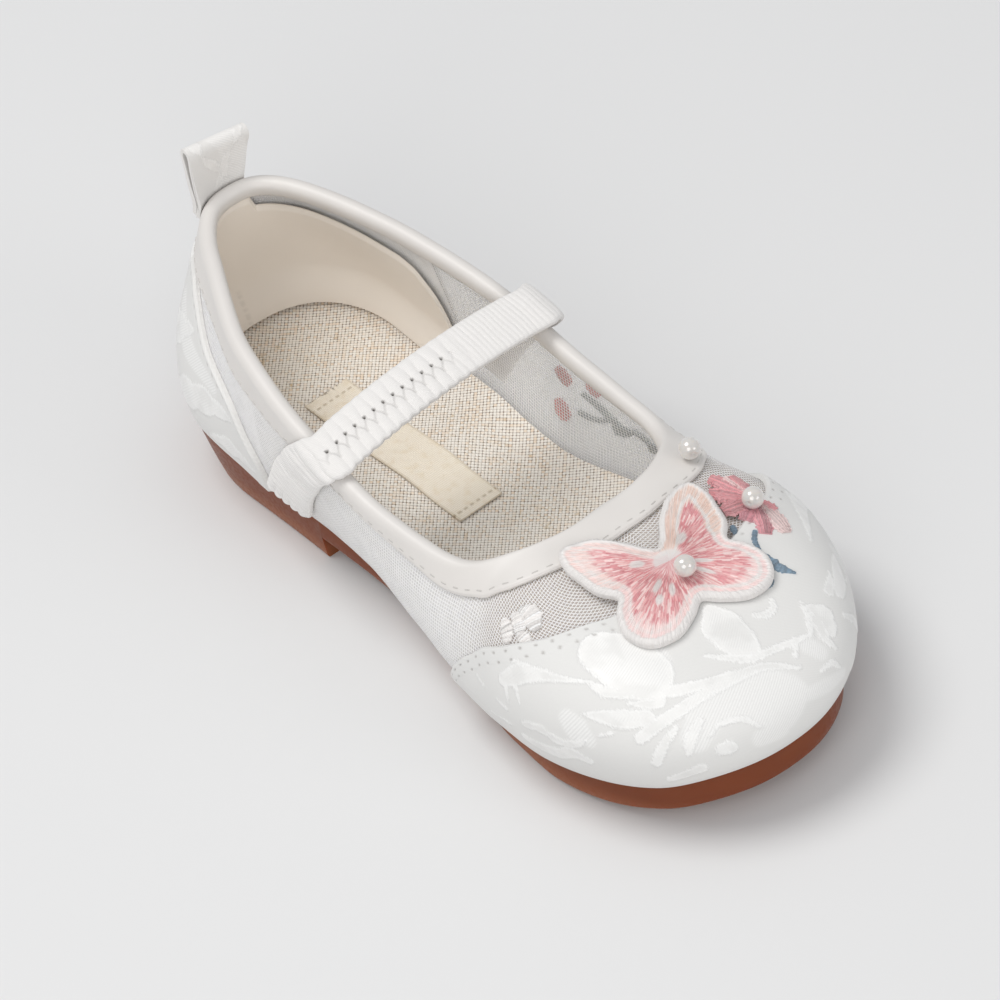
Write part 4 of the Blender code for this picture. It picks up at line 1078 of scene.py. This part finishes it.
def strap():
    """Smocked elastic: pleats across it, a row of needle holes with zigzag stitches, and ruffled edges."""
    lines = []
    for across in (-1.0, -0.5, 0.0, 0.5, 1.0):
        medial, lateral = strap_side(MEDIAL, across), strap_side(LATERAL, across)
        share = np.linspace(0, 1, 13)[1:-1, None]
        bridge = medial[-1] + (lateral[-1] - medial[-1]) * share
        bridge[:, 2] += 4 * STRAP_ARCH * (share * (1 - share))[:, 0]
        lines.append(np.concatenate([medial, bridge, lateral[::-1]]))
    control, places = resample(np.stack(lines, 1), STRAP_LONG)
    base, _ = resample(control, STRAP_WIDE, axis=1)
    normal = normals_of(base)
    across = np.linspace(-1, 1, STRAP_WIDE)[None]
    s = places[:, None]
    total = places[-1]
    x = s / PLEAT
    slant = 0.5 * fade(across, HOLE_ROW, ZIGZAG_END)
    smocked = fade(s, SMOCKED[0] - 3, SMOCKED[0]) * fade(s, SMOCKED[1] + 4, SMOCKED[1])
    fine = fade(s, SMOCKED[1] + 1, SMOCKED[1] + 8)
    vees = np.maximum(pleat(x + slant), pleat(x - slant))
    straight = pleat(x + 0.10 * np.sin(3.1 * across + 1.7 * np.sin(0.9 * s)))
    middle = fade(np.abs(across - 0.14), 0.32, 0.16)
    ridge = straight + (vees - straight) * smocked * np.where(across > HOLE_ROW, 1.0, 0.0)
    height = (0.32 - 0.08 * middle * smocked) * ridge * (0.55 + 0.45 * fade(across, -0.95, -0.2))
    height = height * (1 + 0.6 * fade(s, 36.0, 28.0))
    ribs = pleat(s / FINE_RIB + 0.07 * np.sin(3.7 * across + 0.6 * s))
    height = height + fine * (0.13 * ribs - 0.85 * height)
    end = fade(s, 7.0, 1.0) + fade(total - s, 7.0, 1.0)
    height = height * (1 - 0.45 * end) + 0.26 * end * pleat(across * 2.75)
    gap = np.abs(x % 1 - 0.5) * PLEAT
    hole = fade(np.hypot(gap, (across - HOLE_ROW) * 6.0), 0.42, 0.18) * smocked
    thread = np.minimum(np.abs((x - slant) % 1 - 0.5), np.abs((x + slant) % 1 - 0.5)) * PLEAT
    thread = fade(thread, 0.34, 0.10) * smocked * (across > HOLE_ROW) * fade(across, ZIGZAG_END + 0.12, ZIGZAG_END)
    pillow = (1 - np.abs(across) ** 5) ** 0.5
    thick = 0.5 + (STRAP_THICK - 0.95) * pillow + height * (0.35 + 0.65 * pillow) - 0.7 * hole - 0.14 * thread
    sideways = unit(np.gradient(base, axis=1))
    ruffle = np.where(across > 0, 0.26, 0.10) * np.sign(across) * np.abs(across) ** 3
    scallop = -ruffle * (1 - straight) * (1 - 0.8 * fine)
    bridge = fade(s, 22.0, 30.0) * fade(total - s, 18.0, 26.0)
    scallop = scallop - STRAP_WIDER * bridge * np.clip(-across, 0, 1) ** 2
    base = base + sideways * scallop[..., None]
    lengthwise = unit(np.gradient(base, axis=0))
    tongue = 0.4 * pleat(across * 2.75) * (fade(s, 4.0, 0.0) - fade(total - s, 4.0, 0.0))
    base = base - lengthwise * tongue[..., None]
    uv = np.stack(np.broadcast_arrays(s, across * 6.3), -1)
    shape = Shape()
    # The hole value carries the painted shade of the needle holes and zigzag stitches to the look.
    shape.shell(base + normal * thick[..., None], base[:, ::4], uv, hole=np.maximum(0.75 * hole, 0.22 * thread))
    return shape.make("strap_elastic", ELASTIC, ["strap"])


def pull_loop():
    columns = []
    rate = np.linalg.norm(skin(0.01, 1.0) - skin(-0.01, 1.0)) / 0.02
    upright, back = np.array([0.0, LOOP_LEAN, 1.0]), np.array([0.0, 1.0, 0.0])
    thick = 2 * LOOP_RIBBON + LOOP_OPEN
    corners = [
        past_rim(np.array([(end * LOOP_WIDTH + LOOP_TOP_SHIFT) / rate]), 0.0, OUTER_FACE + CLEAR)[0]
        + upright * (LOOP_ABOVE - LOOP_SKEW * end)
        for end in (-0.5, 0.5)
    ]
    for across in (-0.5, -0.25, 0.0, 0.25, 0.5):
        foot = np.array([(across * LOOP_FOOT + LOOP_FOOT_SHIFT) / rate])
        path = [past_rim(foot, -below, OUTER_FACE + CLEAR)[0] for below in np.linspace(LOOP_BELOW, 0, 4)]
        top = corners[0] + (corners[1] - corners[0]) * (across + 0.5)
        path += [path[3] + (top - path[3]) * share for share in (0.35, 0.7, 1.0)]
        crown = path[-1] + back * thick / 2
        fold = [crown + (upright * math.sin(a) - back * math.cos(a)) * thick / 2 for a in np.radians([60, 120])]
        columns.append(path + fold + [p + back * thick * wide for p, wide in zip(path[::-1], LOOP_SPREAD)])
    grid, _ = resample(np.array(columns), 60)
    grid, v = resample(grid, 150, axis=1)
    u = np.linspace(0, LOOP_WIDTH, 60)
    normal = normals_of(grid)
    leaf = np.abs(u[:, None] - 4.6 - 2.6 * np.sin(v / 3.4)) - 1.3 * np.abs(np.sin(v / 2.1))
    second = np.abs(u[:, None] - 9.8 - 1.7 * np.sin(v / 2.9 + 2)) - 1.1 * np.abs(np.cos(v / 2.6))
    edge_at = np.minimum(leaf, second)
    half = fade(np.abs(u[:, None] - 7.5 - 3.0 * np.sin(v / 5.1)), 3.2, 2.6)
    selvage = fade(np.minimum(u, LOOP_WIDTH - u), 0.9, 0.3)[:, None]
    relief = 0.05 * fade(edge_at, 0.3, -0.3) + 0.10 * selvage
    uv = np.stack(np.broadcast_arrays(u[:, None], v[None]), -1)
    shape = Shape()
    shape.shell(grid + normal * (LOOP_RIBBON - 0.05 + relief)[..., None], grid[:, ::3], uv, edge=edge_at, half=half)
    return shape.make("pull_loop_brocade", LOOP_CLOTH, ["pull_loop"])


def insole_label():
    flat_m, flat_l = bed_flat(*(bed_edge(side)[1] for side in (MEDIAL, LATERAL)))
    bed = (flat_m + flat_l) / 2
    x = np.linspace(-0.5, 0.5, 41) * LABEL_WIDTH
    y = np.linspace(LABEL_FRONT, LABEL_BACK, 165)
    height = np.interp(y, bed[::-1, 1], bed[::-1, 2]) + CLEAR
    fray = rng.normal(0, 0.35, len(x))
    grid = np.empty((len(y), len(x), 3))
    grid[..., 0] = LABEL_MIDDLE + LABEL_SLANT * (y - LABEL_FRONT)[:, None] + x
    tail = fade(y, LABEL_BACK - 2.0, LABEL_BACK)[:, None]
    grid[..., 1] = y[:, None] - tail * np.abs(fray)
    ripple = 0.06 * np.sin(y / 3.1)[:, None] * np.cos(x / 4.0)
    grid[..., 2] = height[:, None] + LABEL_RIBBON - 0.1 + ripple
    low = grid[:, ::4].copy()
    low[..., 2] = height[:, None] + 0.02
    across, ends = np.minimum(x + 5.1, 5.1 - x)[None], (y - LABEL_FRONT)[:, None]
    dash = fade(np.abs((x / 1.5) % 1 - 0.5), 0.34, 0.26)[None]
    dark = 0.55 * fade(np.abs(ends - 1.6), 0.35, 0.15) * dash + 0.25 * fade(across, 0.5, 0.2)
    dark = np.maximum(dark, 0.5 * fade(np.abs(LABEL_BACK - y[:, None] - 2.4), 0.35, 0.15) * dash)
    uv = np.stack(np.broadcast_arrays(x[None], y[:, None]), -1)
    shape = Shape()
    shape.shell(grid, low, uv, dark=dark)
    return shape.make("insole_label_ribbon", RIBBON, ["insole_label"])


def on_vamp(across, upward, off):
    """Points of the vamp by millimetres across (to lateral) and up the vamp from the butterfly's middle."""
    middle, normal, ahead = skin_frame(np.array([BUTTERFLY_TURN]), np.array([BUTTERFLY_RISE]))
    side = unit(np.cross(ahead[0], normal[0]))
    turn = np.full(np.shape(across), BUTTERFLY_TURN)
    rise = np.full(np.shape(across), BUTTERFLY_RISE)
    step = 1e-3
    for _ in range(12):
        here = skin(turn, rise)
        miss = np.stack([across - (here - middle) @ side, upward - (here - middle) @ ahead[0]], -1)
        by_turn = (skin(turn + step, rise) - here) / step
        by_rise = (skin(turn, rise + step) - here) / step
        a, b = by_turn @ side, by_rise @ side
        c, d = by_turn @ ahead[0], by_rise @ ahead[0]
        size = a * d - b * c
        turn = turn + np.clip((miss[..., 0] * d - miss[..., 1] * b) / size, -0.05, 0.05)
        rise = np.clip(rise + np.clip((miss[..., 1] * a - miss[..., 0] * c) / size, -0.08, 0.08), 0.05, 0.999)
    return over(turn, rise, off)


PINK, PALE, BLUSH = np.array([0.68, 0.22, 0.25]), np.array([0.84, 0.63, 0.61]), np.array([0.76, 0.56, 0.47])
BEIGE = np.array([0.66, 0.45, 0.34])
STRANDS, STRAND_PIECES = 250, 16
WING_COLUMNS, WING_RINGS = 900, 56
HEART_TONES = np.array([[0.67, 0.25, 0.27], [0.76, 0.40, 0.40], [0.85, 0.63, 0.61]])
HEART_SHARES = (0.36, 0.40, 0.24)
BERRY = np.array([0.74, 0.16, 0.15])
SNOW, BLUE, SAGE = np.array([0.75, 0.72, 0.70]), np.array([0.13, 0.225, 0.315]), np.array([0.20, 0.235, 0.235])
Spot = namedtuple("Spot", "degrees reach long wide")
SPOTS = (
    Spot(62, 5.8, 1.5, 0.9),
    Spot(-56, 5.6, 1.5, 0.9),
    Spot(126, 6.2, 1.7, 0.6),
    Spot(150, 6.8, 1.5, 0.6),
    Spot(135, 9.1, 1.2, 0.7),
    Spot(-126, 5.8, 2.2, 0.5),
    Spot(-146, 6.8, 2.2, 0.5),
)


def stitches(count, size):
    """Uneven brightness for each of count stitches, spread over size columns."""
    tone = rng.normal(0, 1, count)
    return tone[np.minimum((np.arange(size) * count / size).astype(int), count - 1)]


def butterfly():
    """Padded wings with radial satin stitches, a paler margin and a corded white border."""
    count, rings = WING_COLUMNS, WING_RINGS
    degrees = np.arange(count) * 360 / count
    lateral = degrees > 180
    folded = np.where(lateral, 360 - degrees, degrees)
    reach = table(BUTTERFLY, "reach", folded)
    share = np.concatenate([[0.02], np.linspace(0.06, 1, rings - 1) ** 0.85])[None]
    angle = np.radians(degrees - BUTTERFLY_TILT)[:, None]
    flat = np.stack([-np.sin(angle) * reach[:, None] * share, np.cos(angle) * reach[:, None] * share], -1)
    rim = flat[::3, -1]
    inside = np.empty((count, rings))
    for start in range(0, count, 100):
        block = flat[start : start + 100]
        inside[start : start + 100] = np.linalg.norm(block[:, :, None] - rim[None, None], axis=-1).min(-1)
    radius = reach[:, None] * share
    wave = stitches(260, count)[:, None]
    border = fade(inside + 0.08 * wave, 1.4, 1.0)
    upper_wing = fade(np.abs(folded - 45), 46, 40)[:, None]
    outer_side = fade(np.abs(degrees - 306), 34, 20)[:, None]
    reach_end = 0.76 - 0.05 * upper_wing
    heart = fade(inside + 0.16 * wave, 2.4 + 1.1 * outer_side, 2.9 + 1.1 * outer_side)
    heart = heart * fade(share + 0.025 * wave, reach_end + 0.05, reach_end - 0.03)
    line = fade(np.abs(inside - 2.4 - 1.1 * outer_side), 0.55, 0.2) * (1 - heart)
    line = line * np.where(lateral, 0.9, 0.45)[:, None]
    strand = np.arange(count) * STRANDS // count
    piece = np.floor(radius / 1.5 + rng.random(STRANDS)[strand][:, None]).astype(int)
    piece = np.clip(piece, 0, STRAND_PIECES - 1)
    floss = HEART_TONES[rng.choice(3, (STRANDS, STRAND_PIECES), p=HEART_SHARES)[strand[:, None], piece]]
    margin = PALE + (BLUSH - PALE) * (upper_wing * np.where(lateral, 0.9, 0.25)[:, None])[..., None]
    tone = 0.05 * rng.normal(0, 1, (STRANDS, STRAND_PIECES))[strand[:, None], piece][..., None]
    tone = tone + 0.025 * rng.normal(0, 1, (count, rings, 1))
    flecks = np.clip(stitches(330, count), 0, 1)[:, None, None] * 0.5
    tint = margin + (SNOW - margin) * np.clip(flecks + 0.8 * line[..., None], 0, 1)
    tint = tint + (floss - tint) * heart[..., None]
    tint = tint * (1 + tone)
    white = border.copy()
    for spot in SPOTS:
        at = math.radians(spot.degrees - BUTTERFLY_TILT)
        along = np.array([-math.sin(at), math.cos(at)])
        away = flat - along * spot.reach
        lengthwise, sideways = away @ along, away @ np.array([along[1], -along[0]])
        white = np.maximum(white, fade(np.hypot(lengthwise / spot.long, sideways / spot.wide), 1.25, 0.7) * 0.9)
    white = np.maximum(white, 0.8 * fade(radius, 3.2, 2.6) * (np.abs(degrees - 180) > 95)[:, None])
    tint = np.clip(tint + (SNOW * (1 + 0.4 * tone) - tint) * white[..., None], 0.02, 0.93)
    thread = np.abs(np.sin(math.pi * np.arange(count) * STRANDS / count))[:, None]
    loose = rng.random((STRANDS, STRAND_PIECES))[strand[:, None], piece]
    satin = (0.16 * thread + 0.08 * loose) * fade(radius, 2.0, 6.0)
    cord = np.sqrt(np.clip(1 - ((inside - 0.65) / 0.8) ** 2, 0, 1))
    bead = 0.13 * np.sin(run_of(np.concatenate([rim, rim[:1]]))[:-1] * 2 * math.pi / 0.75)
    bead = np.interp(np.arange(count), np.arange(0, count, 3), bead)[:, None] * border
    lift = 1.15 + 0.25 * fade(inside, 1.5, 4.5) + satin * (1 - border) + (0.35 * cord + bead) * border
    lift = lift * (0.35 + 0.65 * np.sqrt(np.clip(inside / 0.8, 0, 1)))
    top = on_vamp(flat[..., 0], flat[..., 1], BUTTERFLY_OFF)
    under = top[:, ::5]
    normal = normals_of(top, closed=True)
    face = top + normal * (lift + 0.25)[..., None]
    uv = np.stack(np.broadcast_arrays(np.radians(degrees)[:, None] * 9, radius), -1)
    uv = np.concatenate([uv, uv[:1] + [2 * math.pi * 9, 0]])
    shape = Shape()
    a, b = shape.shell(face, under, uv, closed=True, tint=tint)
    shape.face([a[::-1, 0]])
    shape.face([b[:, 0]])
    return shape.make("butterfly_embroidery", FLOSS, ["butterfly"], sharp=60)


def pearls():
    """Pearls with a dent at both ends of the drilled hole."""
    polar = np.linspace(0.06, math.pi - 0.06, 40)
    around = np.arange(48) * 2 * math.pi / 48
    for row in PEARLS:
        off = row.under + CLEAR + row.radius
        centre = over(row.turn, row.rise, off)
        _, normal, upward = skin_frame(row.turn, row.rise)
        side = np.cross(upward, normal)
        drill = 1 - 0.10 * np.exp(-((np.minimum(polar, math.pi - polar) / 0.16) ** 2))
        dented = drill * (1 + 0.006 * np.sin(3 * polar))
        circle = np.cos(around)[:, None] * normal + np.sin(around)[:, None] * upward
        ring = circle[:, None] * np.sin(polar)[None, :, None] - side * np.cos(polar)[None, :, None]
        shape = Shape()
        index = shape.grid(centre + ring * (row.radius * dented)[None, :, None], closed=True, flip=True)
        shape.face([index[:, 0], index[::-1, -1]])
        shape.make(row.name + "_glaze", PEARL_GLAZE, [row.name])


PETAL_LONG, PETAL_WIDE = 48, 33


def petal(shape, line, widths, off, dome, colour, tip=None, slanted=True, under=0.15, edge_tone=None):
    """A satin-stitched leaf: a spine of (turn, rise) rows, half widths, and stitches along or slanting across it."""
    turn, rise = fine_spine(line, PETAL_LONG)
    spine = over(turn, rise, off)
    normal = skin_frame(turn, rise)[1]
    side = unit(np.cross(unit(np.gradient(spine, axis=0)), normal))
    share, across = np.linspace(0, 1, PETAL_LONG), np.linspace(-1, 1, PETAL_WIDE)
    half = np.interp(share, np.linspace(0, 1, len(widths)), widths)
    half = half * (1 + 0.10 * stitches(22, PETAL_LONG))
    grid = spine[:, None] + side[:, None] * half[:, None, None] * across[None, :, None]
    phase = share[:, None] * 70 + across * 12 if slanted else across[None] * 40
    relief = 0.07 * np.sin(phase) + 0.03 * rng.normal(0, 1, grid.shape[:2])
    lift = dome * np.sqrt(np.clip(1 - across**2, 0, 1)) + relief
    tone = stitches(30, PETAL_LONG)[:, None] if slanted else stitches(18, PETAL_WIDE)[None]
    tint = colour * (1 + 0.18 * np.broadcast_to(tone, grid.shape[:2])[..., None])
    if tip is not None:
        tint = tint + (tip - tint) * fade(share, 0.45, 1.0)[:, None, None]
    if edge_tone is not None:
        tint = tint + (edge_tone - tint) * fade(share, 0.3, 0.0)[:, None, None]
    face = grid + normal[:, None] * lift[..., None]
    back = grid[:, ::4] - normal[:, None] * under
    uv = np.stack(np.broadcast_arrays(across * 3.0, share[:, None] * 12.0), -1)
    shape.shell(face, back, uv, tint=np.clip(tint, 0.02, 0.93))


def flower():
    """Embroidered blossom round its pearl on the lateral side of the cap, with a leaf and its stem."""
    shape = Shape()
    centre = (0.853, 0.722)
    for tip, wide, far, near in (
        ((0.800, 0.768), 1.7, PINK * 0.75, PALE),
        # This narrow pale petal between two pink ones is a painted highlight.
        ((0.810, 0.790), 1.0, PALE, SNOW),
        ((0.815, 0.828), 2.1, PINK, BEIGE),
        ((0.866, 0.836), 2.2, PINK, BEIGE),
        ((0.905, 0.804), 2.1, PINK * 0.92, BEIGE),
        ((0.906, 0.748), 1.8, PINK * np.array([0.92, 0.94, 1.05]), BEIGE),
        ((0.912, 0.694), 2.0, PINK * np.array([0.94, 0.96, 1.03]), BEIGE),
        ((0.892, 0.634), 2.1, PALE, SNOW),
        ((0.858, 0.660), 1.6, PINK * 1.1, PALE),
    ):
        middle = tuple((a + b) / 2 for a, b in zip(centre, tip))
        far = 0.76 * far + 0.12 * PALE
        widths = (0.5, 1.2, wide, wide, 1.2)
        petal(shape, (centre, middle, tip), widths, CAP_FACE, 0.4, far, slanted=False, edge_tone=near)
    for line, wide, dome, tone in (
        (((0.915, 0.722), (0.927, 0.716), (0.935, 0.694)), (0.5, 0.55, 0.4), 0.35, 1.0),
        (((0.935, 0.694), (0.938, 0.644), (0.932, 0.580)), (0.3, 1.3, 0.9, 0.1), 0.4, 1.0),
        (((0.960, 0.640), (0.950, 0.630)), (0.7, 1.0, 0.4), 0.35, 0.8),
        (((0.922, 0.776), (0.930, 0.764)), (0.4, 0.7, 0.3), 0.3, 0.9),
    ):
        petal(shape, line, wide, CAP_FACE, dome, BLUE * tone)
    return shape.make("flower_embroidery", FLOSS, sharp=60)


def sprig():
    """Berries and stems worked through the gauze of the lateral wall, so that they show on both of its faces."""
    shape = Shape()
    for line, wide in (
        (((0.417, 0.712), (0.426, 0.684), (0.434, 0.646)), 1.7),
        (((0.411, 0.430), (0.417, 0.374), (0.420, 0.296)), 1.9),
        (((0.460, 0.776), (0.468, 0.760), (0.475, 0.726)), 1.3),
    ):
        widths = (0.7, wide, wide, 0.7)
        petal(shape, line, widths, 0.1, 0.4, BERRY, tip=BERRY * 0.8, slanted=False, under=0.55)
    for line, wide in (
        (((0.450, 0.644), (0.467, 0.628), (0.480, 0.580), (0.495, 0.514)), (0.4, 0.8, 0.9, 0.5)),
        (((0.442, 0.452), (0.459, 0.460), (0.482, 0.530)), (0.5, 0.4, 0.4)),
        (((0.486, 0.460), (0.510, 0.514)), (1.1, 1.2, 0.5)),
        (((0.511, 0.546), (0.524, 0.506), (0.533, 0.450)), (0.4, 0.5, 0.5)),
        (((0.527, 0.448), (0.541, 0.448)), (0.9, 1.2, 0.7)),
    ):
        petal(shape, line, wide, 0.1, 0.3, SAGE * 1.1, under=0.55)
    return shape.make("sprig_embroidery", FLOSS, sharp=60)


def lace():
    """White embroidered blossom on the gauze beside the cap."""
    shape = Shape()
    for line, wide in (
        (((-0.784, 0.758), (-0.809, 0.744), (-0.821, 0.706)), (0.6, 1.9, 2.0, 0.7)),
        (((-0.745, 0.700), (-0.758, 0.658), (-0.758, 0.614)), (0.6, 1.3, 1.4, 0.6)),
        (((-0.785, 0.676), (-0.797, 0.658), (-0.802, 0.634)), (0.6, 1.3, 1.3, 0.5)),
        (((-0.772, 0.738), (-0.785, 0.704), (-0.789, 0.666)), (0.6, 1.5, 1.3, 0.5)),
    ):
        petal(shape, line, wide, 0.1, 0.35, SNOW * 1.1)
    return shape.make("lace_embroidery", FLOSS, sharp=60)


def stand(name, data, axes, place):
    """Adds a camera or lamp that looks down the last of its axes."""
    made = bpy.data.objects.new(name, data)
    made.matrix_world = Matrix([[*(axis[k] for axis in axes), place[k]] for k in range(3)] + [[0, 0, 0, 1]])
    bpy.context.scene.collection.objects.link(made)
    return made


# The photograph's camera: angles in degrees, distance in mm, focal length in pixels of a 1000 px image.
AZIMUTH, ELEVATION, ROLL = (math.radians(angle) for angle in (-32.562, 41.347, 11.5))
DISTANCE, FOCAL, TARGET = 2168.09, 11635.74, np.array([11.039, 19.977, 0.0])
PICTURE, SENSOR = 1000, 36.0
LAMP_WHITE = (1.0, 0.985, 0.965)


def camera():
    right = np.array([math.cos(AZIMUTH), math.sin(AZIMUTH), 0.0])
    level = np.array([math.sin(AZIMUTH), -math.cos(AZIMUTH), 0.0])
    back = level * math.cos(ELEVATION) + [0.0, 0.0, math.sin(ELEVATION)]
    up = np.cross(back, right)
    x = math.cos(ROLL) * right - math.sin(ROLL) * up
    y = math.sin(ROLL) * right + math.cos(ROLL) * up
    data = bpy.data.cameras.new("camera")
    data.sensor_width = SENSOR
    data.lens = FOCAL / PICTURE * SENSOR
    data.clip_end = 20.0
    place = (TARGET + back * DISTANCE + SHIFT) * MM
    bpy.context.scene.camera = stand("camera", data, (x, y, back), place)


def lamp(name, place, size, watts):
    data = bpy.data.lights.new(name, "AREA")
    data.shape, data.size = "DISK", size
    data.energy, data.color = watts, LAMP_WHITE
    away = unit(np.array(place, float))
    side = unit(np.cross([0.0, 1.0, 0.0], away))
    stand(name, data, (side, np.cross(away, side), away), place)


def studio():
    world = bpy.data.worlds.new("studio")
    bpy.context.scene.world = world
    world.use_nodes = True
    sky = world.node_tree.nodes["Background"]
    sky.inputs["Color"].default_value = (0.95, 0.97, 1.0, 1.0)
    sky.inputs["Strength"].default_value = 0.505
    lamp("key", (-0.30, 0.30, 1.15), 0.7, 6.6)
    lamp("fill", (-0.8, -0.75, 0.75), 0.9, 4.6)
    lamp("front", (0.35, -1.15, 0.42), 0.6, 2.2)
    shape = Shape()
    span = np.linspace(-3000, 3000, 13)
    grid = np.stack([*np.meshgrid(span, span, indexing="ij"), np.zeros((13, 13))], -1)
    shape.grid(grid, flip=True)
    mesh = bpy.data.meshes.new("floor")
    mesh.from_pydata((grid.reshape(-1, 3) * MM).tolist(), [], shape.faces)
    floor = bpy.data.objects.new("floor", mesh)
    mesh.materials.append(floor_look().material)
    bpy.context.scene.collection.objects.link(floor)
    bpy.context.scene.view_settings.view_transform = "Standard"


camera()
studio()
outsole()
gauze = upper()
bed = insole()
bound_edge = collar_binding()
binding_stitches()
cap = toe_cap()
counter = heel_counter()
lining = heel_lining()
band = strap()
loop = pull_loop()
label = insole_label()
wings = butterfly()
pearls()
flower()
sprig()
lace()
